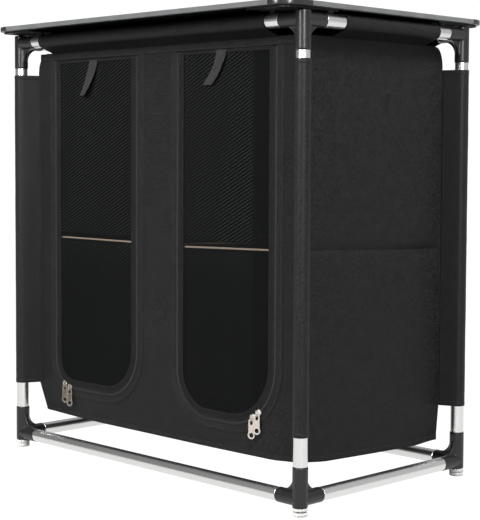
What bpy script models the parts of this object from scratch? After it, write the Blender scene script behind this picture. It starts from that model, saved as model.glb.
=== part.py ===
"""Camping cupboard: a plug-together tube frame that carries a hanging fabric
box with two zipped mesh doors, two shelf boards and a lift-off tabletop.

World frame: +Z up, the doors face -Y, +X is to the right of somebody who faces
the doors. The origin is on the floor, in the middle of the footprint.
All driving dimensions below are in millimetres.
"""

import math

import bmesh
import bpy
from mathutils import Matrix, Vector

MM = 0.001

# ---------------------------------------------------------------- dimensions
PX, PY = 394.0, 219.0          # post axes, left/right and front/back of centre
TUBE_R, TUBE_WALL = 12.5, 1.2  # 25 mm aluminium tube
SIDES = 24                     # facets round a tube
GAP = 0.3                      # clearance between neighbouring pieces

Z_CORNER_LOW = 14.0            # bottom connector, lower end
Z_RAIL_LOW = 28.5              # bottom rails, axis
Z_POST_LOW = 83.5              # bottom connector, upper end
Z_POST_TOP = 783.0             # top connector, lower end
Z_RAIL_TOP = 834.5             # top rails, axis
Z_CORNER_TOP = 849.5           # top connector, upper end
SLEEVE_R, ARM_R = 13.5, 13.3   # connector: upright sleeve and horizontal arms
ARM = 49.0                     # connector arm, from the post axis
SPIGOT_R, SPIGOT_L = 10.9, 25.0
WEB_R, WEB_T = 24.0, 8.0       # curved gusset between sleeve and arm

TX, TY = 413.0, 278.0          # tabletop half sizes
TAB_R = 44.0                   # tabletop corner radius
TAB_Z0, TAB_Z1 = 854.4, 863.5  # edge profile, bottom and top
BOARD_Z0, BOARD_Z1 = 856.2, 862.2
BOARD_TOP, FIELD_IN = 862.7, 15.6        # raised field of the board, clear of the lips
LIP = 12.0                     # edge profile's lips
PLATE_Z0 = 852.6               # underside of the corner pieces
CORNER_LEG = 48.0              # corner piece, along each edge

WX, WY = 368.5, 193.5          # outer faces of the fabric box
CLOTH = 1.2                    # doubled fabric with its lining
Z_BOX_TOP = 812.0
FLOOR_FRONT, FLOOR_BACK = 77.0, 64.6     # the box hangs lower at the back
SLEEVE_Z0, SLEEVE_Z1 = 134.5, 768.5      # fabric sleeves round the posts
SLEEVE_CLOTH_R = 13.6          # middle of the sleeve's cloth
FRONT_SLEEVE = 318.0           # half length of the sleeves on the long rails
SIDE_SLEEVE = (-122.0, 136.0)  # run of the sleeves on the short rails
FLOOR_T = 5.0
SHELF_FRONT, SHELF_DROP = 438.4, 14.0    # top of the fabric shelf
BOARD_T = 3.2

HINGE_Z = 796.7                # sewn top edge of the doors
ZIP_HALF = 127.0               # zip centre line, from the door's middle
ZIP_W = 6.0
DOORS = {                      # middle, bottom of the zip, radius left, right
    "left": (-185.0, 135.0, 58.0, 94.0),
    "right": (183.0, 128.0, 84.0, 112.0),
}
SLIDERS = {                    # corner, angle on the arc, pull tab's offset
    "left_upper": ("left", "L", 242.3, 3.2),
    "left_lower": ("left", "L", 258.7, 2.9),
    "right_upper": ("right", "R", 311.0, -0.9),
    "right_lower": ("right", "R", 302.8, -1.6),
}
PULL_DISC, PULL_HOLE = 7.4, 4.3
PULL_AXIS, PULL_EYE, PULL_END = -3.1, -8.7, -28.5
FEET = {                       # pad height, gap that shows the thread
    "front_left": (6.9, GAP),
    "front_right": (6.4, 2.6),
    "back_right": (6.9, GAP),
    "back_left": (6.9, GAP),
}
CORNERS = {
    "front_left": (-1, -1),
    "front_right": (1, -1),
    "back_right": (1, 1),
    "back_left": (-1, 1),
}

# ------------------------------------------------------------------ start
for old in list(bpy.data.objects):
    bpy.data.objects.remove(old, do_unlink=True)


def material(name, colour, rough, metal=0.0):
    m = bpy.data.materials.new(name)
    m.use_nodes = True
    b = m.node_tree.nodes["Principled BSDF"]
    b.inputs["Base Color"].default_value = (*colour, 1.0)
    b.inputs["Roughness"].default_value = rough
    b.inputs["Metallic"].default_value = metal
    m.diffuse_color = (*colour, 1.0)
    return m


ALU = ("aluminium", (0.78, 0.78, 0.77), 0.35, 1.0)
PLASTIC = ("black_plastic", (0.02, 0.02, 0.021), 0.35, 0.0)
GREY = ("grey_plastic", (0.62, 0.62, 0.60), 0.5, 0.0)
FABRIC = ("black_polyester", (0.018, 0.018, 0.018), 0.85, 0.0)
MESH = ("black_mesh", (0.012, 0.012, 0.012), 0.9, 0.0)
MDF_BLACK = ("black_board", (0.03, 0.03, 0.03), 0.55, 0.0)
MDF_RAW = ("tan_board", (0.42, 0.27, 0.16), 0.7, 0.0)
PROFILE = ("dark_edge_profile", (0.10, 0.10, 0.105), 0.4, 0.3)
ZIP = ("zip_tape", (0.02, 0.02, 0.02), 0.6, 0.0)
METAL = ("beige_metal", (0.62, 0.50, 0.38), 0.35, 0.7)
WEBBING = ("webbing", (0.03, 0.03, 0.03), 0.8, 0.0)


# ---------------------------------------------------------------- building
def place(name, bm, finish, origin=(0, 0, 0), smooth=False):
    """Turn a bmesh in world millimetres into an object with its own material."""
    bmesh.ops.recalc_face_normals(bm, faces=bm.faces)
    o = Vector(origin)
    for v in bm.verts:
        v.co = (v.co - o) * MM
    mesh = bpy.data.meshes.new(name)
    bm.to_mesh(mesh)
    bm.free()
    if smooth:
        mesh.shade_smooth()
        mesh.set_sharp_from_angle(angle=math.radians(35))
    obj = bpy.data.objects.new(name, mesh)
    obj.location = o * MM
    bpy.context.scene.collection.objects.link(obj)
    kind, colour, rough, metal = finish
    mesh.materials.append(material(f"{kind}.{name}", colour, rough, metal))
    return obj


def helper(name, bm):
    """A shape that is only added to, or cut from, a piece."""
    bmesh.ops.recalc_face_normals(bm, faces=bm.faces)
    for v in bm.verts:
        v.co *= MM
    mesh = bpy.data.meshes.new(name)
    bm.to_mesh(mesh)
    bm.free()
    obj = bpy.data.objects.new(name, mesh)
    obj.hide_render = True
    obj.display_type = "WIRE"
    bpy.context.scene.collection.objects.link(obj)
    return obj


def combine(obj, operation, *others):
    for n, other in enumerate(others):
        mod = obj.modifiers.new(f"{operation.lower()}_{n}", "BOOLEAN")
        mod.operation = operation
        mod.solver = "EXACT"
        mod.object = other


def basis(axis):
    """u, v and w directions for a profile that runs along an axis."""
    return {
        "X": (Vector((0, 1, 0)), Vector((0, 0, 1)), Vector((1, 0, 0))),
        "Y": (Vector((1, 0, 0)), Vector((0, 0, 1)), Vector((0, 1, 0))),
        "Z": (Vector((1, 0, 0)), Vector((0, 1, 0)), Vector((0, 0, 1))),
    }[axis]


def prism(outline, axis, low, high, holes=(), bm=None):
    """A flat outline with holes, extruded along an axis. Points are (u, v)."""
    own = bmesh.new()
    u, v, w = basis(axis)
    edges = []
    for loop in (outline, *holes):
        verts = [own.verts.new(u * a + v * b + w * low) for a, b in loop]
        edges += [
            own.edges.new((verts[i], verts[(i + 1) % len(verts)]))
            for i in range(len(verts))
        ]
    if holes:
        bmesh.ops.triangle_fill(own, use_beauty=True, use_dissolve=False, edges=edges)
    else:
        own.faces.new([e.verts[0] for e in edges])
        own.normal_update()
        bmesh.ops.triangulate(own, faces=own.faces, ngon_method="EAR_CLIP")
    faces = list(own.faces)
    top = bmesh.ops.extrude_face_region(own, geom=faces, use_keep_orig=True)
    moved = [g for g in top["geom"] if isinstance(g, bmesh.types.BMVert)]
    bmesh.ops.translate(own, verts=moved, vec=w * (high - low))
    bmesh.ops.recalc_face_normals(own, faces=own.faces)
    if bm is None:
        return own
    mesh = bpy.data.meshes.new("part_of_a_shape")
    own.to_mesh(mesh)
    own.free()
    bm.from_mesh(mesh)
    bpy.data.meshes.remove(mesh)
    return bm


def circle(radius, n=SIDES, centre=(0, 0), turn=0.5):
    return [
        (
            centre[0] + radius * math.cos(2 * math.pi * (i + turn) / n),
            centre[1] + radius * math.sin(2 * math.pi * (i + turn) / n),
        )
        for i in range(n)
    ]


def rod(axis, centre, radius, low, high, n=SIDES):
    return prism(circle(radius, n, centre), axis, low, high)


def tube(axis, centre, radius, wall, low, high, n=SIDES):
    """A ring-section tube, open at both ends."""
    bm = bmesh.new()
    u, v, w = basis(axis)
    loops = []
    for r, z in ((radius, low), (radius, high), (radius - wall, high), (radius - wall, low)):
        loops.append([bm.verts.new(u * a + v * b + w * z) for a, b in circle(r, n, centre)])
    for k in range(4):
        a, b = loops[k], loops[(k + 1) % 4]
        for i in range(n):
            j = (i + 1) % n
            bm.faces.new((a[i], a[j], b[j], b[i]))
    return bm


def turned(profile, centre, n=SIDES):
    """A profile of (r, z) points turned about a vertical axis."""
    bm = bmesh.new()
    rings = []
    for r, z in profile:
        if r == 0:
            rings.append([bm.verts.new((centre[0], centre[1], z))])
        else:
            rings.append(
                [bm.verts.new((x, y, z)) for x, y in circle(r, n, centre)]
            )
    closed = all(len(r) > 1 for r in rings)
    for k in range(len(rings) if closed else len(rings) - 1):
        a, b = rings[k], rings[(k + 1) % len(rings)]
        for i in range(n):
            j = (i + 1) % n
            if len(a) == 1:
                bm.faces.new((a[0], b[j], b[i]))
            elif len(b) == 1:
                bm.faces.new((a[i], a[j], b[0]))
            else:
                bm.faces.new((a[i], a[j], b[j], b[i]))
    return bm


def ribbon(path, width):
    """The outline of a strip of cloth that follows a path, seen on edge."""
    pts = [Vector(p) for p in path]
    left, right = [], []
    for i, p in enumerate(pts):
        a = (p - pts[i - 1]).normalized() if i else None
        b = (pts[i + 1] - p).normalized() if i + 1 < len(pts) else None
        a, b = a or b, b or a
        mid = (a + b).normalized()
        n = Vector((-mid.y, mid.x))
        reach = width / 2 / max(0.5, n.dot(Vector((-a.y, a.x))))
        left.append(p + n * reach)
        right.append(p - n * reach)
    return [tuple(p) for p in left + right[::-1]]


def arc(centre, radius, start, end, n):
    """Points on an arc, in degrees, ends included."""
    return [
        (
            centre[0] + radius * math.cos(math.radians(start + (end - start) * i / n)),
            centre[1] + radius * math.sin(math.radians(start + (end - start) * i / n)),
        )
        for i in range(n + 1)
    ]


# -------------------------------------------------------- posts and rails
for name, (sx, sy) in CORNERS.items():
    place(
        f"post_{name}",
        tube("Z", (sx * PX, sy * PY), TUBE_R, TUBE_WALL, Z_POST_LOW + GAP, Z_POST_TOP - GAP),
        ALU,
        smooth=True,
    )

for level, z in (("top", Z_RAIL_TOP), ("bottom", Z_RAIL_LOW)):
    reach = PX - ARM - GAP
    for side, y in (("front", -PY), ("back", PY)):
        place(
            f"rail_{level}_{side}",
            tube("X", (y, z), TUBE_R, TUBE_WALL, -reach, reach),
            ALU,
            smooth=True,
        )
    reach = PY - ARM - GAP
    for side, x in (("left", -PX), ("right", PX)):
        place(
            f"rail_{level}_{side}",
            tube("Y", (x, z), TUBE_R, TUBE_WALL, -reach, reach),
            ALU,
            smooth=True,
        )


# ------------------------------------------------------- corner connectors
def web_outline(origin, direction, z_arm, up, inner):
    """The curved gusset in the plane of the sleeve and one arm."""
    far = SLEEVE_R + WEB_R
    pts = [(inner, inner / 2), (far + 1.5, inner / 2), (far + 1.5, ARM_R - 0.6)]
    pts += arc((far, ARM_R - 0.6 + WEB_R), WEB_R, 270, 184, 6)
    pts += [(SLEEVE_R - 2.0, ARM_R + WEB_R + 1.0), (inner, ARM_R + WEB_R + 1.0)]
    return [(origin + direction * a, z_arm + up * b) for a, b in pts]


for level in ("top", "bottom"):
    low = level == "bottom"
    z_arm = Z_RAIL_LOW if low else Z_RAIL_TOP
    z0, z1 = (Z_CORNER_LOW, Z_POST_LOW) if low else (Z_POST_TOP, Z_CORNER_TOP)
    up = 1 if low else -1
    for name, (sx, sy) in CORNERS.items():
        x, y = sx * PX, sy * PY
        profile = [(0, z0), (SLEEVE_R, z0), (SLEEVE_R, z1)]
        if not low:  # peg that centres the tabletop
            profile += [(3.0, z1), (3.0, BOARD_Z0 - 0.8)]
        profile += [(0, profile[-1][1])]
        piece = place(
            f"corner_{level}_{name}", turned(profile, (x, y), n=20), PLASTIC, smooth=True
        )
        tag = f"{level}_{name}"
        ends = sorted((x + sx * 3.1, x - sx * ARM))
        parts = [helper(f"arm_x_{tag}", rod("X", (y, z_arm), ARM_R, *ends, n=20))]
        ends = sorted((y + sy * 4.3, y - sy * ARM))
        parts.append(helper(f"arm_y_{tag}", rod("Y", (x, z_arm), ARM_R - 0.12, *ends, n=20)))
        parts.append(
            helper(
                f"web_x_{tag}",
                prism(web_outline(x, -sx, z_arm, up, 4.7), "Y", y - WEB_T / 2, y + WEB_T / 2),
            )
        )
        parts.append(
            helper(
                f"web_y_{tag}",
                prism(web_outline(y, -sy, z_arm, up, 5.9), "X", x - WEB_T / 2, x + WEB_T / 2),
            )
        )
        ends = sorted((x - sx * (ARM - 8), x - sx * (ARM + SPIGOT_L)))
        parts.append(helper(f"spigot_x_{tag}", rod("X", (y, z_arm), SPIGOT_R, *ends, n=10)))
        ends = sorted((y - sy * (ARM - 8), y - sy * (ARM + SPIGOT_L)))
        parts.append(helper(f"spigot_y_{tag}", rod("Y", (x, z_arm), SPIGOT_R, *ends, n=10)))
        ends = (z1 - 8, z1 + SPIGOT_L) if low else (z0 - SPIGOT_L, z0 + 8)
        parts.append(helper(f"spigot_z_{tag}", rod("Z", (x, y), SPIGOT_R, *ends, n=10)))
        combine(piece, "UNION", *parts)
        if low:  # blind socket for the foot
            socket = helper(f"socket_{tag}", rod("Z", (x, y), 9.3, z0 - 2, 30.0, n=16))
            combine(piece, "DIFFERENCE", socket)

# ------------------------------------------------------------ screw feet
for name, (sx, sy) in CORNERS.items():
    pad, gap = FEET[name]
    at = (sx * PX, sy * PY)
    flange = pad + gap
    top = Z_CORNER_LOW - GAP
    place(
        f"foot_collar_{name}",
        turned(
            [
                (4.4, flange), (12.6, flange), (13.2, flange + 0.6), (13.2, top - 0.4),
                (12.8, top), (9.0, top), (9.0, 24.0), (4.4, 24.0),
            ],
            at,
            n=20,
        ),
        GREY,
        smooth=True,
    )
    place(
        f"foot_pad_{name}",
        turned(
            [
                (0, 0), (12.0, 0), (13.2, 1.4), (13.2, pad - 0.8), (12.4, pad),
                (4.0, pad), (4.0, 27.8), (0, 27.8),
            ],
            at,
            n=20,
        ),
        GREY,
        origin=(at[0], at[1], 0),
        smooth=True,
    )


# -------------------------------------------------------------- tabletop
def rounded(hx, hy, r, n=8):
    pts = []
    for cx, cy, a in ((hx - r, hy - r, 0), (-hx + r, hy - r, 90), (-hx + r, -hy + r, 180), (hx - r, -hy + r, 270)):
        pts += arc((cx, cy), r, a, a + 90, n)
    return pts


def stack(loops):
    """Outlines with equal numbers of points, one above the other: (points, z)."""
    bm = bmesh.new()
    rings = [[bm.verts.new((a, b, z)) for a, b in points] for points, z in loops]
    for a, b in zip(rings, rings[1:]):
        for i in range(len(a)):
            j = (i + 1) % len(a)
            bm.faces.new((a[i], a[j], b[j], b[i]))
    ends = [bm.faces.new(rings[0][::-1]), bm.faces.new(rings[-1])]
    bm.normal_update()
    bmesh.ops.triangulate(bm, faces=ends, ngon_method="EAR_CLIP")
    return bm


TABLE_ORIGIN = (0, 0, BOARD_Z0)
rim = rounded(TX - 3.0, TY - 3.0, TAB_R - 3.0)
field = rounded(TX - FIELD_IN, TY - FIELD_IN, TAB_R - FIELD_IN)
place(
    "table_board",
    stack([(rim, BOARD_Z0), (rim, BOARD_Z1), (field, BOARD_Z1), (field, BOARD_TOP)]),
    MDF_BLACK,
    origin=TABLE_ORIGIN,
)


def channel(lip, grow=0.0):
    """Section of the edge profile: (distance in from the edge, z)."""
    t = 2.4
    return [
        (-grow, TAB_Z0 - grow), (lip, TAB_Z0 - grow), (lip, BOARD_Z0 - GAP), (t, BOARD_Z0 - GAP),
        (t, BOARD_Z1 + GAP), (lip, BOARD_Z1 + GAP), (lip, TAB_Z1 + grow), (1.0 - grow, TAB_Z1 + grow),
        (-grow, TAB_Z1 - 1.2),
    ]


for side, sy in (("front", -1), ("back", 1)):
    place(
        f"table_edge_{side}",
        prism([(sy * (TY - d), z) for d, z in channel(LIP)], "X", -TX + CORNER_LEG + GAP, TX - CORNER_LEG - GAP),
        PROFILE,
        origin=TABLE_ORIGIN,
    )
for side, sx in (("left", -1), ("right", 1)):
    place(
        f"table_edge_{side}",
        prism([(sx * (TX - d), z) for d, z in channel(LIP)], "Y", -TY + CORNER_LEG + GAP, TY - CORNER_LEG - GAP),
        PROFILE,
        origin=TABLE_ORIGIN,
    )

for name, (sx, sy) in CORNERS.items():
    section = channel(15.0, grow=0.2)
    r = TAB_R
    path = [((TX, TY - CORNER_LEG), 0.0)]
    path += [
        ((TX - r + r * math.cos(math.radians(a)), TY - r + r * math.sin(math.radians(a))), a)
        for a in [90 * i / 9 for i in range(10)]
    ]
    path += [((TX - CORNER_LEG, TY), 90.0)]
    bm = bmesh.new()
    rings = []
    for (px, py), a in path:
        ring = []
        for d, z in section:
            qx = px - d * math.cos(math.radians(a))
            qy = py - d * math.sin(math.radians(a))
            ring.append(bm.verts.new((sx * qx, sy * qy, z)))
        rings.append(ring)
    m = len(section)
    for a, b in zip(rings, rings[1:]):
        for i in range(m):
            bm.faces.new((a[i], a[(i + 1) % m], b[(i + 1) % m], b[i]))
    ends = [bm.faces.new(rings[0][::-1]), bm.faces.new(rings[-1])]
    bm.normal_update()
    bmesh.ops.triangulate(bm, faces=ends, ngon_method="EAR_CLIP")
    piece = place(f"table_corner_{name}", bm, PLASTIC, origin=TABLE_ORIGIN, smooth=True)
    # plate under the board, with a hole for the peg and two saddles that
    # stand over the rails
    plate = [
        (13, 30), (17, 19), (30, 13), (106, 13), (106, 68), (84, 70), (52, 78), (38, 94),
        (31, 118), (30, 138), (13, 138),
    ]
    plate = [(sx * (TX - a), sy * (TY - b)) for a, b in plate]
    combine(
        piece,
        "UNION",
        helper(f"table_plate_{name}", prism(plate, "Z", PLATE_Z0, BOARD_Z0 - GAP)),
        helper(
            f"saddle_x_{name}",
            prism(
                [(sy * PY - 4, 847.4), (sy * PY + 4, 847.4), (sy * PY + 4, 854), (sy * PY - 4, 854)],
                "X", *sorted((sx * (PX - 62), sx * (PX - 74))),
            ),
        ),
        helper(
            f"saddle_y_{name}",
            prism(
                [(sx * PX - 4, 847.4), (sx * PX + 4, 847.4), (sx * PX + 4, 854), (sx * PX - 4, 854)],
                "Y", *sorted((sy * (PY - 58), sy * (PY - 70))),
            ),
        ),
    )
    combine(
        piece,
        "DIFFERENCE",
        helper(f"peg_hole_{name}", rod("Z", (sx * PX, sy * PY), 3.6, PLATE_Z0 - 2, BOARD_Z0 + 2, n=10)),
    )


# ----------------------------------------------------------- fabric box
def floor_z(y):
    t = (y + WY) / (2 * WY)
    return FLOOR_FRONT + (FLOOR_BACK - FLOOR_FRONT) * t


def shelf_z(y):
    return SHELF_FRONT - SHELF_DROP * (y + WY) / (2 * WY)


def sleeve_section(seam, centre, first, overlap, end_gap):
    """A loop of cloth round a tube, drawn together at its seam.

    seam: where it is sewn to the box; centre: the tube; first: +1 or -1, the
    side on which the loop leaves the seam; overlap: a point inside the wall
    that the loop starts from; end_gap: how far its end stops from the seam.
    """
    d = Vector(centre) - Vector(seam)
    toward = math.degrees(math.atan2(-d.y, -d.x))
    spread = math.degrees(math.acos(SLEEVE_CLOTH_R / d.length))
    start = toward + first * spread
    end = start + first * (360 - 2 * spread)
    pts = [overlap, seam] + arc(centre, SLEEVE_CLOTH_R, start, end, 14)
    last = Vector(pts[-1])
    stop = Vector(seam) + (last - Vector(seam)).normalized() * end_gap
    return pts + [tuple(stop)]


def u_path(door, grow, n=10):
    """The zip's centre line, moved outwards by grow; open at the top."""
    middle, bottom, rl, rr = DOORS[door]
    xl, xr = middle - ZIP_HALF - grow, middle + ZIP_HALF + grow
    zb = bottom - grow
    rl, rr = rl + grow, rr + grow
    return (
        [(xl, HINGE_Z)]
        + arc((xl + rl, zb + rl), rl, 180, 270, n)
        + arc((xr - rr, zb + rr), rr, 270, 360, n)
        + [(xr, HINGE_Z)]
    )


# front and back walls, between the side walls
half = WX - CLOTH - 0.4


def end_wall_outline(bottom):
    top = [(half, SLEEVE_Z1), (half - 2.5, 790), (half - 10, 803), (half - 20, 809.5), (338, Z_BOX_TOP)]
    return [(-half, bottom), (half, bottom)] + top + [(-a, b) for a, b in top[::-1]]


for side, sy, bottom in (("front", -1, FLOOR_FRONT), ("back", 1, FLOOR_BACK)):
    holes = []
    if side == "front":
        for door in DOORS:
            hole = u_path(door, 3.6)
            rim = HINGE_Z + 0.4
            holes.append([(hole[0][0], rim)] + hole[1:-1] + [(hole[-1][0], rim)])
    wall = place(
        f"cover_{side}",
        prism(end_wall_outline(bottom), "Y", *sorted((sy * WY, sy * (WY - CLOTH))), holes=holes),
        FABRIC,
    )
    mid = WY - CLOTH / 2
    loop = sleeve_section(
        (mid, Z_BOX_TOP - 1.5), (PY, Z_RAIL_TOP), -1, (mid, Z_BOX_TOP - 8.0), 3.2
    )
    outline = [(sy * a, b) for a, b in ribbon(loop, CLOTH)]
    combine(
        wall,
        "UNION",
        helper(f"rail_sleeve_{side}", prism(outline, "X", -FRONT_SLEEVE, FRONT_SLEEVE)),
    )

# side walls, each with a sleeve for its rail and for two posts
for side, sx in (("left", -1), ("right", 1)):
    outline = [
        (-WY, floor_z(-WY)), (WY, floor_z(WY)), (WY, SLEEVE_Z1 + 4), (WY - 2, 790), (WY - 8, 803),
        (WY - 18, 810), (WY - 36, Z_BOX_TOP), (-WY + 36, Z_BOX_TOP), (-WY + 18, 810),
        (-WY + 8, 803), (-WY + 2, 790), (-WY, SLEEVE_Z1 + 4),
    ]
    wall = place(
        f"cover_{side}",
        prism(outline, "X", *sorted((sx * WX, sx * (WX - CLOTH)))),
        FABRIC,
    )
    mid = WX - CLOTH / 2
    loop = sleeve_section(
        (mid, Z_BOX_TOP - 1.5), (PX, Z_RAIL_TOP), -1, (mid, Z_BOX_TOP - 8.0), 3.2
    )
    section = [(sx * a, b) for a, b in ribbon(loop, CLOTH)]
    added = [helper(f"rail_sleeve_{side}", prism(section, "Y", *SIDE_SLEEVE))]
    for end, sy in (("front", -1), ("back", 1)):
        loop = sleeve_section(
            (mid, WY - 0.4), (PX, PY), -1, (mid, WY - 7.0), 3.2
        )
        section = [(sx * a, sy * b) for a, b in ribbon(loop, CLOTH)]
        added.append(
            helper(f"post_sleeve_{side}_{end}", prism(section, "Z", SLEEVE_Z0, SLEEVE_Z1))
        )
    combine(wall, "UNION", *added)

# stiffened floor, sewn round a board; it slopes down to the back
inner_x, inner_y = WX - CLOTH - 0.4, WY - CLOTH - 0.4


def sloped(name, finish, height, low, high, x0, x1, y0, y1):
    outline = [
        (y0, height(y0) + low), (y1, height(y1) + low), (y1, height(y1) + high), (y0, height(y0) + high),
    ]
    return place(name, prism(outline, "X", x0, x1), finish)


sloped("cover_floor", FABRIC, floor_z, 0.0, FLOOR_T, -inner_x, inner_x, -inner_y, inner_y)
sloped("shelf_cloth", FABRIC, shelf_z, -CLOTH, 0.0, -inner_x, inner_x, -inner_y, inner_y)
for side, x0, x1 in (("left", -inner_x + 2, -1.5), ("right", 1.5, inner_x - 2)):
    sloped(
        f"shelf_board_{side}", MDF_RAW, shelf_z, GAP, GAP + BOARD_T, x0, x1, -inner_y + 1.5, inner_y - 2
    )

# ---------------------------------------------------------------- doors
for door in DOORS:
    middle, bottom, _, _ = DOORS[door]
    outline = u_path(door, -3.6)
    top = HINGE_Z - 0.4
    outline = [(outline[0][0], top)] + outline[1:-1] + [(outline[-1][0], top)]
    place(
        f"door_{door}",
        prism(outline, "Y", -WY, -WY + CLOTH),
        MESH,
        origin=(middle, -WY, HINGE_Z),
    )
    # zip: a U-shaped track between the door and the wall
    path = u_path(door, 0.0)
    place(
        f"zip_{door}",
        prism(ribbon(path, ZIP_W), "Y", -WY - 1.0, -WY + 1.0),
        ZIP,
    )

# tie straps that hang from the top of each door
for door, top, foot in (
    ("left", ((-204, 792.5), (-180, 792.5)), ((-221.5, 726), (-235.5, 727))),
    ("right", ((160, 795.5), (186, 795.5)), ((144, 736), (123, 737))),
):
    outline = [top[0], top[1], foot[0], foot[1]]
    centre = ((top[0][0] + top[1][0]) / 2, -WY - 1.0, top[0][1])
    place(
        f"tie_strap_{door}",
        prism(outline, "Y", -WY - 1.4, -WY - 0.6),
        WEBBING,
        origin=centre,
    )

# ----------------------------------------------- zip sliders and pull tabs
FACE = -WY - 1.3               # back of the sliders, just off the zip
for name, (door, corner, angle, offset) in SLIDERS.items():
    middle, bottom, rl, rr = DOORS[door]
    r = rl if corner == "L" else rr
    cx = middle - ZIP_HALF + r if corner == "L" else middle + ZIP_HALF - r
    cz = bottom + r
    a = math.radians(angle)
    along = Vector((-math.sin(a), math.cos(a)))
    across = Vector((math.cos(a), math.sin(a)))
    mid = Vector((cx, cz)) + across * r
    body = [
        (-6.5, -3.0), (-4.0, -5.2), (4.5, -5.2), (6.5, -3.2),
        (6.5, 3.2), (4.5, 5.2), (-4.0, 5.2), (-6.5, 3.0),
    ]
    piece = place(
        f"zip_slider_{name}",
        prism([tuple(mid + along * t + across * q) for t, q in body], "Y", FACE - 2.6, FACE),
        METAL,
        origin=(cx, FACE, cz),
    )
    # bail over the slider, which holds the eye of the pull tab
    px, pz = mid.x + offset, mid.y + PULL_AXIS
    bail = [
        (-5.9, -2.0), (-5.9, -5.7), (-5.3, -6.3), (3.6, -6.3), (4.2, -5.7), (4.2, -2.0),
        (3.2, -2.0), (3.2, -5.2), (-4.9, -5.2), (-4.9, -2.0),
    ]
    bail = [(FACE + n, mid.y + z) for z, n in bail]
    combine(piece, "UNION", helper(f"bail_{name}", prism(bail, "X", px - 1.1, px + 1.1)))
    # pull tab: a slotted eye, a flat shank and a disc with a hole
    disc = arc((0, PULL_END), PULL_DISC, 28, -208, 12)
    outline = [(-2.6, 0.9), (2.6, 0.9), (4.8, -1.4), (5.0, -20.0)] + disc + [(-5.0, -20.0), (-4.8, -1.4)]
    eye = [(-1.9, -0.9), (1.9, -0.9), (1.9, PULL_EYE + 1.2), (0.8, PULL_EYE), (-0.8, PULL_EYE), (-1.9, PULL_EYE + 1.2)]
    hole = circle(PULL_HOLE, 12, (0, PULL_END))
    place(
        f"zip_pull_{name}",
        prism(
            [(px + x, pz + z) for x, z in outline], "Y", FACE - 4.4, FACE - 3.4,
            holes=[[(px + x, pz + z) for x, z in h] for h in (eye, hole)],
        ),
        METAL,
        origin=(px, FACE - 3.9, pz),
    )
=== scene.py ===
"""Looks of a folding camping cupboard: tube frame, hanging fabric box with two
zipped mesh doors, shelf boards, screw feet and a lift-off tabletop.

Lengths below are in millimetres in the frame of the CAD model: +Z up, the doors
face -Y, +X is to the right of somebody who faces the doors. A Shape turns them
into metres when it becomes an object.
"""

import math

import bmesh
import bpy
from mathutils import Matrix, Vector, noise


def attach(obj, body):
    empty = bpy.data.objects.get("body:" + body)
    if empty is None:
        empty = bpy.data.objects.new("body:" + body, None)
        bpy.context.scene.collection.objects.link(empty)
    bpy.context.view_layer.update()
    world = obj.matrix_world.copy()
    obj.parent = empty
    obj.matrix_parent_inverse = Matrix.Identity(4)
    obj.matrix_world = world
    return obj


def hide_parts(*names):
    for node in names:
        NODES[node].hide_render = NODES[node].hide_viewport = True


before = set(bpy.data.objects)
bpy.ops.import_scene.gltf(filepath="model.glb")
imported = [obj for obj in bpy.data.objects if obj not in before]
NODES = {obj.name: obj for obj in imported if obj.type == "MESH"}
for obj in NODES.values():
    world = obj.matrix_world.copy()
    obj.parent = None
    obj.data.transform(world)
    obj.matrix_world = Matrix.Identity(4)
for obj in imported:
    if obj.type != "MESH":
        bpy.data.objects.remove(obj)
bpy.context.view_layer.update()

MM = 0.001

# ------------------------------------------------- dimensions, as in the CAD
PX, PY = 394.0, 219.0
TUBE_R, TUBE_WALL = 12.5, 1.2
GAP = 0.3
Z_CORNER_LOW, Z_RAIL_LOW, Z_POST_LOW = 14.0, 28.5, 83.5
Z_POST_TOP, Z_RAIL_TOP, Z_CORNER_TOP = 783.0, 834.5, 849.5
SLEEVE_R, ARM_R, ARM = 13.5, 13.3, 49.0
WEB_R, WEB_T = 24.0, 8.0
TX, TY, TAB_R = 413.0, 278.0, 44.0
TAB_Z0, TAB_Z1 = 854.4, 863.5
BOARD_TOP, FIELD_IN = 862.7, 15.6
BOARD_Z0, BOARD_Z1 = 856.2, 862.2
LIP, PLATE_Z0, CORNER_LEG = 12.0, 850.9, 48.0
WX, WY, CLOTH = 368.5, 193.5, 1.2
Z_BOX_TOP = 812.0
FLOOR_FRONT, FLOOR_BACK, FLOOR_T = 77.0, 64.6, 5.0
SLEEVE_Z0, SLEEVE_Z1 = 134.5, 768.5
SLEEVE_CLOTH_R = 13.6
FRONT_SLEEVE, BACK_SLEEVE = 318.0, 341.0
SIDE_SLEEVE = (-122.0, 136.0)
SHELF_FRONT, SHELF_DROP, BOARD_T = 438.4, 14.0, 3.2
CREASE = 8.8
HINGE_Z, ZIP_HALF = 796.7, 127.0
DOORS = {"left": (-185.0, 135.0, 58.0, 94.0), "right": (183.0, 128.0, 84.0, 112.0)}
STEP = 10.0                     # grid of the cloth meshes
SLIDERS = {
    "left_upper": ("left", "L", 242.3, 3.2),
    "left_lower": ("left", "L", 258.7, 2.9),
    "right_upper": ("right", "R", 311.0, -0.9),
    "right_lower": ("right", "R", 302.8, -1.6),
}
PULL_DISC, PULL_HOLE, PULL_TURN = 6.7, 4.5, 16.0
PULL_AXIS, PULL_EYE, PULL_END = -3.1, -7.9, -28.2
FACE = -WY - 1.3
FEET = {"front_left": (6.9, 0.3), "front_right": (6.4, 2.6), "back_right": (6.9, 0.3), "back_left": (6.9, 0.3)}
CORNERS = {"front_left": (-1, -1), "front_right": (1, -1), "back_right": (1, 1), "back_left": (-1, 1)}


def clamp(x, low=0.0, high=1.0):
    return max(low, min(high, x))


def ease(x):
    x = clamp(x)
    return x * x * (3 - 2 * x)


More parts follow.
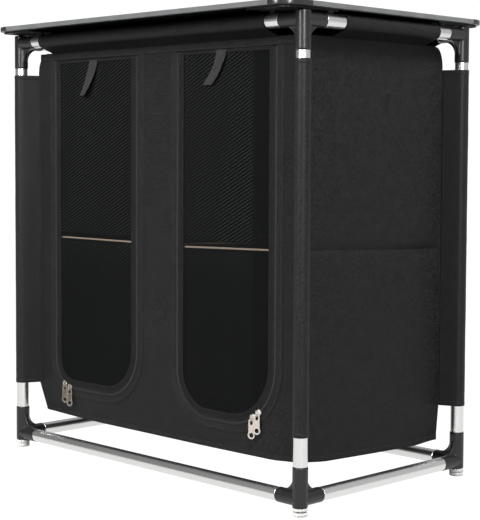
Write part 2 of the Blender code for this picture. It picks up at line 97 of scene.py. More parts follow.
def ripple(x, y, z, size):
    """Smooth noise between about -1 and 1 with features of that size."""
    return noise.noise(Vector((x / size, y / size, z / size)))


# ------------------------------------------------------------ node materials
class Nodes:
    """A small wrapper that builds a node material line by line."""

    def __init__(self, name, colour, rough, metal=0.0, **more):
        self.material = bpy.data.materials.new(name)
        self.material.use_nodes = True
        self.tree = self.material.node_tree
        self.shader = self.tree.nodes["Principled BSDF"]
        self.shader.inputs["Base Color"].default_value = (*colour, 1.0)
        self.shader.inputs["Roughness"].default_value = rough
        self.shader.inputs["Metallic"].default_value = metal
        for key, value in more.items():
            self.shader.inputs[key.replace("_", " ")].default_value = value
        self.material.diffuse_color = (*colour, 1.0)

    def node(self, kind, **settings):
        n = self.tree.nodes.new(kind)
        for key, value in settings.items():
            setattr(n, key, value)
        return n

    def link(self, a, b):
        self.tree.links.new(a, b)
        return b

    def math(self, operation, a, b=None, c=None):
        n = self.node("ShaderNodeMath", operation=operation)
        for i, value in enumerate((a, b, c)):
            if value is None:
                continue
            if isinstance(value, (int, float)):
                n.inputs[i].default_value = value
            else:
                self.link(value, n.inputs[i])
        return n.outputs[0]

    def coords(self, which):
        """'Object' in metres, or the cloth map in metres of flat cloth."""
        if which == "cloth":
            return self.node("ShaderNodeUVMap", uv_map="cloth").outputs[0]
        return self.node("ShaderNodeTexCoord").outputs["Object"]

    def split(self, vector):
        n = self.node("ShaderNodeSeparateXYZ")
        self.link(vector, n.inputs[0])
        return n.outputs

    def noise(self, vector, scale, detail=2.0, rough=0.5, stretch=None):
        if stretch:
            m = self.node("ShaderNodeMapping")
            m.inputs["Scale"].default_value = stretch
            self.link(vector, m.inputs["Vector"])
            vector = m.outputs[0]
        n = self.node("ShaderNodeTexNoise")
        n.inputs["Scale"].default_value = scale
        n.inputs["Detail"].default_value = detail
        n.inputs["Roughness"].default_value = rough
        self.link(vector, n.inputs["Vector"])
        return n.outputs["Fac"]

    def span(self, value, low, high, out_low, out_high, smooth=False):
        n = self.node("ShaderNodeMapRange")
        if smooth:
            n.interpolation_type = "SMOOTHSTEP"
        n.inputs["From Min"].default_value = low
        n.inputs["From Max"].default_value = high
        n.inputs["To Min"].default_value = out_low
        n.inputs["To Max"].default_value = out_high
        self.link(value, n.inputs["Value"])
        return n.outputs[0]

    def mix(self, factor, a, b):
        n = self.node("ShaderNodeMix", data_type="RGBA")
        sockets = [s for s in n.inputs if s.type == "RGBA"]
        for socket, value in zip(sockets, (a, b)):
            if isinstance(value, tuple):
                socket.default_value = (*value, 1.0)
            else:
                self.link(value, socket)
        self.link(factor, n.inputs[0])
        return [s for s in n.outputs if s.type == "RGBA"][0]

    def bump(self, height, strength, distance, below=None):
        n = self.node("ShaderNodeBump")
        n.inputs["Strength"].default_value = strength
        n.inputs["Distance"].default_value = distance
        self.link(height, n.inputs["Height"])
        if below is not None:
            self.link(below, n.inputs["Normal"])
        return n.outputs[0]

    def use(self, colour=None, rough=None, normal=None, alpha=None):
        for socket, value in (
            ("Base Color", colour), ("Roughness", rough), ("Normal", normal), ("Alpha", alpha),
        ):
            if value is not None:
                self.link(value, self.shader.inputs[socket])
        return self.material


def shade(colour, factor):
    return tuple(c * factor for c in colour)


def woven(name, colour, pitch=0.00055, rough=0.46, specular=0.09, contrast=0.22, grain=0.50, twill=False, fluff=(0.20, 0.0004)):
    """Coated plain weave: threads over and under, mottled, with fine fluff."""
    n = Nodes(name, colour, rough, Specular_IOR_Level=specular)
    uv = n.split(n.coords("cloth"))
    k = math.pi / pitch
    warp = n.math("SINE", n.math("MULTIPLY", uv[0], k))
    weft = n.math("SINE", n.math("MULTIPLY", uv[1], k))
    if twill:
        weft = n.math("SINE", n.math("MULTIPLY", n.math("ADD", uv[0], uv[1]), k))
    height = n.math("ADD", n.math("MULTIPLY", n.math("MULTIPLY", warp, weft), 0.5), 0.5)
    where = n.coords("Object")
    fine = n.noise(where, 300.0, 2.0, 0.6)
    soft = n.noise(where, 38.0, 2.0, 0.5)
    level = n.math("ADD", n.span(fine, 0.33, 0.67, -grain, grain), n.span(soft, 0.3, 0.7, -0.12, 0.12))
    level = n.math("ADD", level, n.span(height, 0.0, 1.0, -contrast, contrast))
    tone = n.mix(n.span(level, -1.2, 1.2, 0.0, 1.0), shade(colour, 0.10), shade(colour, 1.90))
    normal = n.bump(height, 0.35, 0.00012)
    normal = n.bump(fine, *fluff, normal)
    normal = n.bump(soft, 0.10, 0.0012, normal)
    return n.use(tone, n.span(fine, 0.3, 0.7, rough - 0.12, rough + 0.12), normal)


def moulded(name, colour, rough, specular=0.4, grain=900.0, depth=0.08, metal=0.0):
    """Injection-moulded plastic or lacquer with a fine spark-eroded grain."""
    n = Nodes(name, colour, rough, metal, Specular_IOR_Level=specular)
    where = n.coords("Object")
    fine = n.noise(where, grain, 2.0, 0.6)
    wide = n.noise(where, 22.0, 3.0, 0.55)
    tone = n.mix(n.span(wide, 0.3, 0.7, 0.0, 1.0), shade(colour, 0.86), shade(colour, 1.14))
    normal = n.bump(fine, depth, 0.0003)
    return n.use(tone, n.span(wide, 0.25, 0.75, rough - 0.05, rough + 0.06), normal)


def anodised(name):
    """Drawn and satin-anodised aluminium: faint lines along the tube."""
    colour = (0.79, 0.785, 0.775)
    n = Nodes(name, colour, 0.27, 1.0)
    uv = n.coords("cloth")
    lines = n.noise(uv, 1.0, 3.0, 0.6, stretch=(2600.0, 14.0, 1.0))
    broad = n.noise(uv, 1.0, 2.0, 0.5, stretch=(260.0, 6.0, 1.0))
    tone = n.mix(n.span(lines, 0.3, 0.7, 0.0, 1.0), shade(colour, 0.97), shade(colour, 1.02))
    rough = n.math("ADD", n.span(lines, 0.3, 0.7, 0.25, 0.28), n.span(broad, 0.3, 0.7, -0.02, 0.02))
    return n.use(tone, rough, n.bump(lines, 0.03, 0.00015))


def net(name):
    """Fine knitted mesh: small holes between threads, with a diagonal rib."""
    thread = (0.0062, 0.0066, 0.0066)
    n = Nodes(name, thread, 0.72, Specular_IOR_Level=0.02)
    uv = n.split(n.coords("cloth"))
    k = 2 * math.pi / 0.0019
    a = n.math("SINE", n.math("MULTIPLY", n.math("ADD", uv[0], uv[1]), k))
    b = n.math("SINE", n.math("MULTIPLY", n.math("SUBTRACT", uv[0], uv[1]), k))
    cell = n.math("MULTIPLY", a, b)
    solid = n.span(cell, 0.05, 0.32, 1.0, 0.0, smooth=True)
    # ribs climb to the right, about 26 degrees, one every 6 mm of height
    where = n.coords("Object")
    slope = n.math("SUBTRACT", uv[1], n.math("MULTIPLY", uv[0], 0.49))
    cross = n.math("ADD", uv[1], n.math("MULTIPLY", uv[0], 1.1))
    rib = n.math("SINE", n.math("MULTIPLY", slope, 2 * math.pi / 0.0066))
    dots = n.math("SINE", n.math("MULTIPLY", cross, 2 * math.pi / 0.0076))
    rib = n.math("ADD", rib, n.math("MULTIPLY", dots, 0.55))
    rib = n.span(rib, 0.25, 1.25, 0.0, 1.0, smooth=True)
    fluff = n.noise(where, 260.0, 2.0, 0.6)
    # the ribs show less toward the middle and fade down the door
    height = n.split(where)[2]
    fade = n.span(height, 0.36, 0.47, 0.30, 1.0, smooth=True)
    bands = n.span(n.noise(where, 1.0, 1.0, 0.5, stretch=(17.0, 1.0, 3.5)), 0.36, 0.60, 0.45, 1.0, smooth=True)
    # and a plain strip runs down beside the right hand border
    plain = n.span(n.split(where)[0], 0.247, 0.257, 1.0, 0.0, smooth=True)
    fade = n.math("MULTIPLY", fade, plain)
    shown = n.math("MULTIPLY", n.math("MULTIPLY", rib, fade), bands)
    flat = n.math("SUBTRACT", 1.0, n.math("MULTIPLY", fade, bands))
    even = n.math("ADD", n.math("MULTIPLY", flat, 0.13), n.span(fluff, 0.3, 0.7, -0.04, 0.06))
    tone = n.mix(n.math("ADD", shown, even), shade(thread, 0.26), (0.0142, 0.0149, 0.0146))
    alpha = n.math("ADD", n.math("MULTIPLY", solid, 0.25), n.math("MULTIPLY", shown, 0.40))
    alpha = n.math("ADD", alpha, n.math("MULTIPLY", fade, 0.16))
    # it is drawn tight over the shelf, where its holes open
    alpha = n.math("MINIMUM", n.math("ADD", alpha, 0.56), 1.0)
    # it is drawn tight over the shelf, where its holes open
    open_low = n.span(height, 0.433, 0.436, 0.0, 1.0, smooth=True)
    open_high = n.span(height, 0.450, 0.453, 1.0, 0.0, smooth=True)
    tight = n.math("MULTIPLY", open_low, open_high)
    alpha = n.math("ADD", alpha, n.math("MULTIPLY", tight, n.math("SUBTRACT", 0.645, alpha)))
    return n.use(tone, None, n.bump(cell, 0.3, 0.0003), alpha)


def laminate(name, colour):
    """Printed board surface with a very fine pore."""
    n = Nodes(name, colour, 0.48, Specular_IOR_Level=0.40)
    where = n.coords("Object")
    pores = n.noise(where, 1.0, 4.0, 0.65, stretch=(120.0, 1400.0, 900.0))
    wide = n.noise(where, 9.0, 3.0, 0.5)
    tone = n.mix(n.span(wide, 0.3, 0.7, 0.0, 1.0), shade(colour, 0.85), shade(colour, 1.2))
    return n.use(tone, n.span(pores, 0.3, 0.7, 0.42, 0.54), n.bump(pores, 0.12, 0.0004))


def fibreboard(name):
    """Raw sawn edge of a fibreboard: fibres and darker flecks."""
    n = Nodes(name, (0.62, 0.44, 0.30), 0.75, Specular_IOR_Level=0.2)
    where = n.coords("Object")
    fibre = n.noise(where, 1.0, 5.0, 0.7, stretch=(160.0, 160.0, 1900.0))
    fleck = n.noise(where, 420.0, 3.0, 0.6)
    tone = n.mix(n.span(fibre, 0.3, 0.7, 0.0, 1.0), (0.60, 0.46, 0.36), (0.84, 0.70, 0.58))
    tone = n.mix(n.span(fleck, 0.62, 0.75, 0.0, 0.6), tone, (0.26, 0.16, 0.10))
    return n.use(tone, None, n.bump(fleck, 0.25, 0.0003))


def enamel(name, colour, rough, edge, metal):
    """Lacquered die-cast metal, worn a little paler in spots."""
    n = Nodes(name, colour, rough, metal, Coat_Weight=0.25, Coat_Roughness=0.2)
    where = n.coords("Object")
    wear = n.noise(where, 420.0, 4.0, 0.65)
    tone = n.mix(n.span(wear, 0.35, 0.75, 0.0, 1.0), colour, edge)
    return n.use(tone, n.span(wear, 0.3, 0.7, rough - 0.05, rough + 0.1), n.bump(wear, 0.12, 0.0002))


BLACK_CLOTH = (0.0066, 0.0066, 0.0067)
M = {
    "taut": woven("polyester_sleeve", BLACK_CLOTH, rough=0.45, specular=0.18, grain=0.55),
    "cloth": woven("polyester_cover", BLACK_CLOTH, grain=0.68, fluff=(0.25, 0.0005)),
    "lining": woven("polyester_inside", (0.009, 0.009, 0.009), rough=0.5, contrast=0.12, grain=0.4),
    "binding": woven("binding_tape", (0.0085, 0.0085, 0.0085), pitch=0.0008, rough=0.6),
    "band": woven("zip_band_cloth", (0.0080, 0.0080, 0.0081), pitch=0.0007, rough=0.5),
    "border": woven("door_border_cloth", (0.0060, 0.0060, 0.0061), rough=0.60, specular=0.05),
    "thread": woven("sewing_thread", (0.019, 0.019, 0.019), pitch=0.0004, rough=0.55),
    "tape": woven("zip_tape_weave", (0.011, 0.011, 0.011), pitch=0.0007, twill=True, contrast=0.3),
    "coil": moulded("zip_coil", (0.016, 0.016, 0.0165), 0.40, 0.35, 1400.0, 0.1),
    "net": net("door_net"),
    "tube": anodised("anodised_tube"),
    "connector": moulded("connector_plastic", (0.0050, 0.0050, 0.0050), 0.335, 0.47, 1100.0, 0.02),
    "foot": moulded("foot_plastic", (0.40, 0.40, 0.388), 0.5, 0.4, 900.0, 0.06),
    "profile": moulded("edge_profile_lacquer", (0.064, 0.0655, 0.067), 0.40, 0.35, 1200.0, 0.04),
    "cap": moulded("corner_cap_plastic", (0.010, 0.010, 0.010), 0.22, 0.5, 900.0, 0.03),
    "plate": moulded("corner_plate_plastic", (0.007, 0.007, 0.007), 0.42, 0.25, 900.0, 0.08),
    "laminate": laminate("black_laminate", (0.010, 0.010, 0.010)),
    "backing": moulded("backing_paper", (0.006, 0.006, 0.006), 0.9, 0.0, 700.0, 0.05),
    "raw": fibreboard("fibreboard_edge"),
    "enamel": enamel("slider_enamel", (0.30, 0.275, 0.245), 0.34, (0.40, 0.385, 0.36), 0.0),
    "pull_pale": enamel("pull_enamel", (0.255, 0.218, 0.182), 0.36, (0.31, 0.28, 0.245), 0.0),
    "pull_rim": enamel("pull_rim_enamel", (0.31, 0.295, 0.27), 0.30, (0.38, 0.365, 0.34), 0.0),
    # painted shade: the left door's pull, slider and rims are the same enamel as the right door's, made darker to stand
    # in for the shade and dark reflections they sit in
    "pull_painted_shade": enamel("pull_enamel_painted_shade", (0.045, 0.033, 0.024), 0.30, (0.10, 0.078, 0.060), 0.3),
    "slider_painted_shade": enamel("slider_enamel_painted_shade", (0.09, 0.070, 0.054), 0.28, (0.24, 0.21, 0.175), 0.3),
    "rim_painted_shade": enamel("rim_enamel_painted_shade", (0.20, 0.175, 0.145), 0.26, (0.32, 0.29, 0.255), 0.2),
    "webbing": woven("tie_ribbon", (0.0155, 0.0155, 0.0155), pitch=0.0011, rough=0.7, contrast=0.3),
}


# ------------------------------------------------------------------- shapes
class Shape:
    """Vertices in millimetres, faces with a material and cloth coordinates."""

    def __init__(self):
        self.v, self.f, self.m, self.uv = [], [], [], []

    def add(self, verts, faces, mat=0, uv=None, face_uv=None):
        base = len(self.v)
        self.v += [tuple(p) for p in verts]
        for k, face in enumerate(faces):
            self.f.append([base + i for i in face])
            self.m.append(mat)
            if face_uv is not None:
                self.uv.append(face_uv[k])
            elif uv is not None:
                self.uv.append([uv[i] for i in face])
            else:
                self.uv.append([(verts[i][0] + verts[i][1], verts[i][2]) for i in face])
        return self

    def join(self, other, place=lambda p: p, flip=False):
        verts = [place(p) for p in other.v]
        base = len(self.v)
        self.v += [tuple(p) for p in verts]
        for face, mat, uv in zip(other.f, other.m, other.uv):
            face = [base + i for i in face]
            self.f.append(face[::-1] if flip else face)
            self.m.append(mat)
            self.uv.append(uv[::-1] if flip else uv)
        return self


PIECES = {}


def make(name, shape, materials, body, stands_for=(), angle=38, solid=None, fix=True):
    mesh = bpy.data.meshes.new(name)
    mesh.from_pydata([(x * MM, y * MM, z * MM) for x, y, z in shape.v], [], shape.f)
    layer = mesh.uv_layers.new(name="cloth")
    k = 0
    for uv in shape.uv:
        for a, b in uv:
            layer.data[k].uv = (a * MM, b * MM)
            k += 1
    mesh.polygons.foreach_set("material_index", shape.m)
    for key in materials:
        mesh.materials.append(M[key])
    if fix:
        bm = bmesh.new()
        bm.from_mesh(mesh)
        bmesh.ops.recalc_face_normals(bm, faces=bm.faces)
        bm.to_mesh(mesh)
        bm.free()
    mesh.shade_smooth()
    mesh.set_sharp_from_angle(angle=math.radians(angle))
    obj = bpy.data.objects.new(name, mesh)
    bpy.context.scene.collection.objects.link(obj)
    if solid:
        # the cut edges are sharp, so the shading doesn't roll off beside them
        count = [0] * len(mesh.edges)
        for loop in mesh.loops:
            count[loop.edge_index] += 1
        for edge, uses in zip(mesh.edges, count):
            if uses == 1:
                edge.use_edge_sharp = True
        thickness, offset = solid
        mod = obj.modifiers.new("cloth_thickness", "SOLIDIFY")
        mod.thickness = thickness * MM
        mod.offset = offset
        mod.use_rim = True
    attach(obj, body)
    if stands_for:
        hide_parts(*stands_for)
    PIECES[name] = obj
    return obj


def place_on(axis, centre, r, angle, t):
    c, s = r * math.cos(angle), r * math.sin(angle)
    if axis == "X":
        return (t, centre[0] + c, centre[1] + s)
    if axis == "Y":
        return (centre[0] + c, t, centre[1] + s)
    return (centre[0] + c, centre[1] + s, t)


def lathe(shape, profile, centre, axis="Z", n=48, mat=0, loop=True):
    """A profile of (radius, place along the axis) turned about the axis."""
    rings, lengths, far = [], [0.0], profile[0]
    verts = []
    for r, t in profile:
        if r == 0:
            rings.append([len(verts)])
            verts.append(place_on(axis, centre, 0, 0, t))
        else:
            rings.append(list(range(len(verts), len(verts) + n)))
            verts += [place_on(axis, centre, r, 2 * math.pi * i / n, t) for i in range(n)]
        lengths.append(lengths[-1] + math.dist((r, t), far))
        far = (r, t)
    lengths = lengths[1:] + [lengths[-1] + math.dist(profile[0], profile[-1])]
    faces, uvs = [], []
    last = len(rings) if loop else len(rings) - 1
    for k in range(last):
        a, b = rings[k], rings[(k + 1) % len(rings)]
        for i in range(n):
            j = (i + 1) % n
            u0, u1 = [2 * math.pi * max(profile[k][0], 5) * q / n for q in (i, i + 1)]
            v0, v1 = lengths[k], lengths[k + 1]
            if len(a) == 1 and len(b) == 1:
                continue
            if len(a) == 1:
                faces.append((a[0], b[j], b[i]))
                uvs.append([(u0, v0), (u1, v1), (u0, v1)])
            elif len(b) == 1:
                faces.append((a[i], a[j], b[0]))
                uvs.append([(u0, v0), (u1, v0), (u0, v1)])
            else:
                faces.append((a[i], a[j], b[j], b[i]))
                uvs.append([(u0, v0), (u1, v0), (u1, v1), (u0, v1)])
    return shape.add(verts, faces, mat, face_uv=uvs)


def frames(path, closed=False, up=(0, 0, 1)):
    """Tangent, side and lift at each point of a path."""
    out = []
    n = len(path)
    up = Vector(up)
    for i in range(n):
        a = path[i - 1] if i or closed else path[i]
        b = path[(i + 1) % n] if i + 1 < n or closed else path[i]
        t = (b - a).normalized()
        side = t.cross(up)
        side = side.normalized() if side.length > 1e-6 else Vector((1, 0, 0))
        out.append((t, side, side.cross(t).normalized()))
    return out


def sweep(shape, path, section, mat=0, closed=False, up=(0, 0, 1), taper=None, caps=True):
    """A closed section of (side, lift) points carried along a path."""
    path = [Vector(p) for p in path]
    m = len(section)
    verts, uv, run = [], [], 0.0
    for i, (p, (t, side, lift)) in enumerate(zip(path, frames(path, closed, up))):
        run += (p - path[i - 1]).length if i else 0.0
        k = taper(i / max(1, len(path) - 1)) if taper else 1.0
        for j, (a, b) in enumerate(section):
            verts.append(p + side * a * k + lift * b * k)
            uv.append((j * 0.8, run))
    faces = []
    count = len(path)
    for i in range(count if closed else count - 1):
        for j in range(m):
            q = (j + 1) % m
            c = (i + 1) % count
            faces.append((i * m + j, i * m + q, c * m + q, c * m + j))
    if not closed and caps:
        faces.append(tuple(range(m))[::-1])
        faces.append(tuple((count - 1) * m + j for j in range(m)))
    return shape.add(verts, faces, mat, uv=uv)


def ring(r, n=8, squash=1.0):
    return [(r * math.cos(2 * math.pi * i / n), r * squash * math.sin(2 * math.pi * i / n)) for i in range(n)]


def resample(path, step):
    """Evenly spaced points on a polyline."""
    path = [Vector(p) for p in path]
    out, left = [path[0].copy()], step
    for a, b in zip(path, path[1:]):
        length = (b - a).length
        at = left
        while at < length:
            out.append(a.lerp(b, at / length))
            at += step
        left = at - length
    if (out[-1] - path[-1]).length > step * 0.3:
        out.append(path[-1].copy())
    return out


def stitches(shape, path, up, pitch=3.2, length=2.3, r=0.26, mat=0, depth=0.0):
    """Single stitches of thread along a path: short capsules sunk at their ends."""
    up = Vector(up)
    points = resample(path, pitch)
    for a, b in zip(points, points[1:]):
        t = b - a
        if t.length < pitch * 0.6:
            continue
        t.normalize()
        side = t.cross(up).normalized()
        lift = side.cross(t).normalized()
        if lift.dot(up) < 0:
            lift = -lift
        mid = (a + b) / 2 + lift * depth
        ends = mid - t * length / 2, mid + t * length / 2
        verts = [ends[0] - lift * r * 0.8]
        for f in (0.22, 0.78):
            c = ends[0].lerp(ends[1], f)
            verts += [c + side * r, c + lift * r, c - side * r, c - lift * r]
        verts.append(ends[1] - lift * r * 0.8)
        faces = [(0, 1, 2), (0, 2, 3), (0, 3, 4), (0, 4, 1)]
        faces += [(1 + i, 5 + i, 5 + (i + 1) % 4, 1 + (i + 1) % 4) for i in range(4)]
        faces += [(9, 6, 5), (9, 7, 6), (9, 8, 7), (9, 5, 8)]
        shape.add(verts, faces, mat)
    return shape


def arc(centre, radius, start, end, n):
    return [
        (
            centre[0] + radius * math.cos(math.radians(start + (end - start) * i / n)),
            centre[1] + radius * math.sin(math.radians(start + (end - start) * i / n)),
        )
        for i in range(n + 1)
    ]


def smooth_line(points, n=6):
    """A Catmull-Rom curve through points."""
    pts = [Vector(p) for p in points]
    out = []
    for i in range(len(pts) - 1):
        a, b, c, d = pts[max(0, i - 1)], pts[i], pts[i + 1], pts[min(len(pts) - 1, i + 2)]
        for k in range(n):
            t = k / n
            out.append(
                0.5 * ((2 * b) + (c - a) * t + (2 * a - 5 * b + 4 * c - d) * t * t + (3 * b - a - 3 * c + d) * t ** 3)
            )
    return [tuple(p) for p in out] + [tuple(pts[-1])]


def flat_panel(outline, holes=(), step=STEP, rows=()):
    """A flat outline with holes, cut into a grid with some extra rows. Returns 2D points and faces."""
    bm = bmesh.new()
    edges = []
    for loop in (outline, *holes):
        vs = [bm.verts.new((a, b, 0)) for a, b in loop]
        edges += [bm.edges.new((vs[i], vs[(i + 1) % len(vs)])) for i in range(len(vs))]
    bmesh.ops.triangle_fill(bm, use_beauty=True, use_dissolve=False, edges=edges)
    for axis in (0, 1):
        values = [p[axis] for p in outline]
        k = math.ceil((min(values) + 0.5) / step)
        cuts = []
        while k * step < max(values) - 0.5:
            cuts.append(k * step)
            k += 1
        for at in cuts + (list(rows) if axis else []):
            co = [0, 0, 0]
            no = [0, 0, 0]
            co[axis], no[axis] = at, 1
            geom = bm.verts[:] + bm.edges[:] + bm.faces[:]
            bmesh.ops.bisect_plane(bm, geom=geom, dist=1e-5, plane_co=co, plane_no=no)

    def on_grid(e):
        for axis in (0, 1):
            a, b = e.verts[0].co[axis], e.verts[1].co[axis]
            if abs(a - b) < 1e-3:
                if abs(a / step - round(a / step)) * step < 1e-2:
                    return True
                if axis and any(abs(a - row) < 1e-2 for row in rows):
                    return True
        return False

    inner = [e for e in bm.edges if len(e.link_faces) == 2 and not on_grid(e)]
    bmesh.ops.dissolve_edges(bm, edges=inner, use_verts=False)
    bm.verts.index_update()
    points = [(v.co.x, v.co.y) for v in bm.verts]
    faces = [tuple(v.index for v in f.verts) for f in bm.faces]
    bm.free()
    return points, faces


def panel(shape, outline, where, holes=(), step=STEP, mat=0, rows=()):
    """A flat panel carried into space by where(a, b)."""
    points, faces = flat_panel(outline, holes, step, rows)
    return shape.add([where(a, b) for a, b in points], faces, mat, uv=points)


def strip(shape, path, offsets, place, mat=0):
    """A band along a 2D path: offsets are distances to its left, place maps to space."""
    pts = [Vector(p) for p in path]
    rows, run, runs = [], 0.0, []
    for i, p in enumerate(pts):
        a = (p - pts[i - 1]).normalized() if i else None
        b = (pts[i + 1] - p).normalized() if i + 1 < len(pts) else None
        a, b = a or b, b or a
        mid = (a + b).normalized()
        n = Vector((-mid.y, mid.x))
        reach = 1 / max(0.6, n.dot(Vector((-a.y, a.x))))
        run += (p - pts[i - 1]).length if i else 0
        runs.append(run)
        rows.append([p + n * (d * reach) for d in offsets])
    w = len(offsets)
    verts = [place(q.x, q.y, offsets[k]) for row in rows for k, q in enumerate(row)]
    uv = [(d, r) for r in runs for d in offsets]
    faces = [
        (i * w + k, i * w + k + 1, (i + 1) * w + k + 1, (i + 1) * w + k)
        for i in range(len(rows) - 1)
        for k in range(w - 1)
    ]
    return shape.add(verts, faces, mat, uv=uv)


# ------------------------------------------------------------ camera, light
scene = bpy.context.scene
scene.view_settings.view_transform = "Standard"
scene.view_settings.look = "None"
scene.view_settings.exposure = 0.0
scene.view_settings.gamma = 1.0

EYE = Vector((1980.6, -1934.4, 609.6)) * MM
YAW, PITCH, ROLL = (math.radians(a) for a in (45.28, -3.30, 0.25))
forward = Vector((-math.sin(YAW) * math.cos(PITCH), math.cos(YAW) * math.cos(PITCH), math.sin(PITCH)))
right = Vector((math.cos(YAW), math.sin(YAW), 0))
up = right.cross(forward)
right, up = (
    right * math.cos(ROLL) + up * math.sin(ROLL),
    up * math.cos(ROLL) - right * math.sin(ROLL),
)
camera = bpy.data.cameras.new("camera")
camera.sensor_width = 36.0
camera.lens = 36.0 * 1400.0 / 520.0
camera.shift_x = -0.001
camera.shift_y = -0.0483
camera.clip_start, camera.clip_end = 0.05, 60.0
eye = bpy.data.objects.new("camera", camera)
eye.matrix_world = Matrix(
    (
        (right.x, up.x, -forward.x, EYE.x),
        (right.y, up.y, -forward.y, EYE.y),
        (right.z, up.z, -forward.z, EYE.z),
        (0, 0, 0, 1),
    )
)
scene.collection.objects.link(eye)
scene.camera = eye

ROOM_DARK, ROOM_PALE = 0.22, 0.56
world = bpy.data.worlds.new("studio")
scene.world = world
world.use_nodes = True
wt = world.node_tree
wt.nodes.clear()
out = wt.nodes.new("ShaderNodeOutputWorld")
seen = wt.nodes.new("ShaderNodeBackground")
seen.inputs["Color"].default_value = (1, 1, 1, 1)
seen.inputs["Strength"].default_value = 1.05
lit = wt.nodes.new("ShaderNodeBackground")
way = wt.nodes.new("ShaderNodeTexCoord")
turn = wt.nodes.new("ShaderNodeVectorMath")
turn.operation = "DOT_PRODUCT"
turn.inputs[1].default_value = (0.70, 0.70, 0.12)
room = wt.nodes.new("ShaderNodeMapRange")
room.interpolation_type = "SMOOTHSTEP"
for socket, value in (("From Min", -0.9), ("From Max", 0.9), ("To Min", ROOM_DARK), ("To Max", ROOM_PALE)):
    room.inputs[socket].default_value = value
wt.links.new(way.outputs["Generated"], turn.inputs[0])
wt.links.new(turn.outputs["Value"], room.inputs["Value"])
lit.inputs["Color"].default_value = (0.98, 0.99, 1.0, 1)
rays = wt.nodes.new("ShaderNodeLightPath")
dim = wt.nodes.new("ShaderNodeMath")
dim.operation = "MULTIPLY_ADD"
dim.inputs[1].default_value = -0.80
dim.inputs[2].default_value = 1.0
damp = wt.nodes.new("ShaderNodeMath")
damp.operation = "MULTIPLY"
wt.links.new(rays.outputs["Is Diffuse Ray"], dim.inputs[0])
wt.links.new(dim.outputs[0], damp.inputs[0])
wt.links.new(room.outputs[0], damp.inputs[1])
wt.links.new(damp.outputs[0], lit.inputs["Strength"])
both = wt.nodes.new("ShaderNodeMixShader")
wt.links.new(rays.outputs["Is Camera Ray"], both.inputs[0])
wt.links.new(lit.outputs[0], both.inputs[1])
wt.links.new(seen.outputs[0], both.inputs[2])
wt.links.new(both.outputs[0], out.inputs["Surface"])


def softbox(name, at, look, width, height, radiance, colour=(1, 1, 1)):
    light = bpy.data.lights.new(name, "AREA")
    light.shape = "RECTANGLE"
    light.size, light.size_y = width, height
    light.energy = radiance * math.pi * width * height
    light.color = colour
    obj = bpy.data.objects.new(name, light)
    at, look = Vector(at), Vector(look)
    obj.location = at
    obj.rotation_euler = (look - at).to_track_quat("-Z", "Y").to_euler()
    scene.collection.objects.link(obj)
    return obj


softbox("front_strip", (0.22, -2.70, 1.80), (0.1, 0.0, 0.45), 0.40, 1.9, 34.0)
softbox("side_strip", (3.00, -1.80, 1.80), (0.2, 0.0, 0.45), 0.46, 1.9, 34.0)
softbox("front_wall", (2.6, -2.9, 1.55), (0.1, 0.0, 0.5), 2.2, 1.6, 0.7)
softbox("top_box", (1.2, -1.4, 3.1), (0.0, 0.0, 0.5), 1.6, 1.2, 4.0)
# two broad keys from the outer sides that shape the cloth but leave no reflection
softbox("left_key", (-1.5, -2.8, 2.0), (0.0, 0.0, 0.45), 1.0, 0.9, 80.0).visible_glossy = False
softbox("right_key", (1.60, 0.55, 2.35), (0.0, 0.0, 0.45), 0.7, 0.65, 99.0).visible_glossy = False

# floor: a wide flat pale sheet, almost evenly lit
floor_shape = Shape()
points = [(-7000 + 500 * i, -7000 + 500 * j, 0.0) for j in range(29) for i in range(29)]
quads = [(j * 29 + i, j * 29 + i + 1, (j + 1) * 29 + i + 1, (j + 1) * 29 + i) for j in range(28) for i in range(28)]
floor_shape.add(points, quads)
floor_mesh = bpy.data.meshes.new("studio_floor")
floor_mesh.from_pydata([(x * MM, y * MM, -0.0002) for x, y, _ in points], [], quads)
floor = bpy.data.objects.new("studio_floor", floor_mesh)
scene.collection.objects.link(floor)
paper = bpy.data.materials.new("pale_paper")
paper.use_nodes = True
pt = paper.node_tree
pale = pt.nodes["Principled BSDF"]
pale.inputs["Base Color"].default_value = (0.20, 0.20, 0.20, 1)
pale.inputs["Roughness"].default_value = 0.9
pale.inputs["Specular IOR Level"].default_value = 0.0
glow = pt.nodes.new("ShaderNodeEmission")
glow.inputs["Color"].default_value = (1, 1, 1, 1)
glow.inputs["Strength"].default_value = 1.06
path_info = pt.nodes.new("ShaderNodeLightPath")
pick = pt.nodes.new("ShaderNodeMath")
pick.operation = "MULTIPLY_ADD"
pick.inputs[1].default_value = -0.80
pick.inputs[2].default_value = 0.80
blend_floor = pt.nodes.new("ShaderNodeMixShader")
pt.links.new(path_info.outputs["Is Diffuse Ray"], pick.inputs[0])
pt.links.new(pick.outputs[0], blend_floor.inputs[0])
pt.links.new(pale.outputs[0], blend_floor.inputs[1])
pt.links.new(glow.outputs[0], blend_floor.inputs[2])
bright = pt.nodes.new("ShaderNodeEmission")
bright.inputs["Color"].default_value = (1, 1, 1, 1)
bright.inputs["Strength"].default_value = 1.08
shown = pt.nodes.new("ShaderNodeMixShader")
pt.links.new(path_info.outputs["Is Camera Ray"], shown.inputs[0])
pt.links.new(blend_floor.outputs[0], shown.inputs[1])
pt.links.new(bright.outputs[0], shown.inputs[2])
pt.links.new(shown.outputs[0], pt.nodes["Material Output"].inputs["Surface"])
floor_mesh.materials.append(paper)

# ------------------------------------------------------------------- tubes
def tube_profile(low, high):
    r, w, c = TUBE_R, TUBE_WALL, 0.35
    steps = [low + c + (high - low - 2 * c) * i / 6 for i in range(1, 6)]
    outer = [(r - c, low), (r, low + c)] + [(r, t) for t in steps] + [(r, high - c), (r - c, high)]
    return outer + [(r - w, high), (r - w, low)]


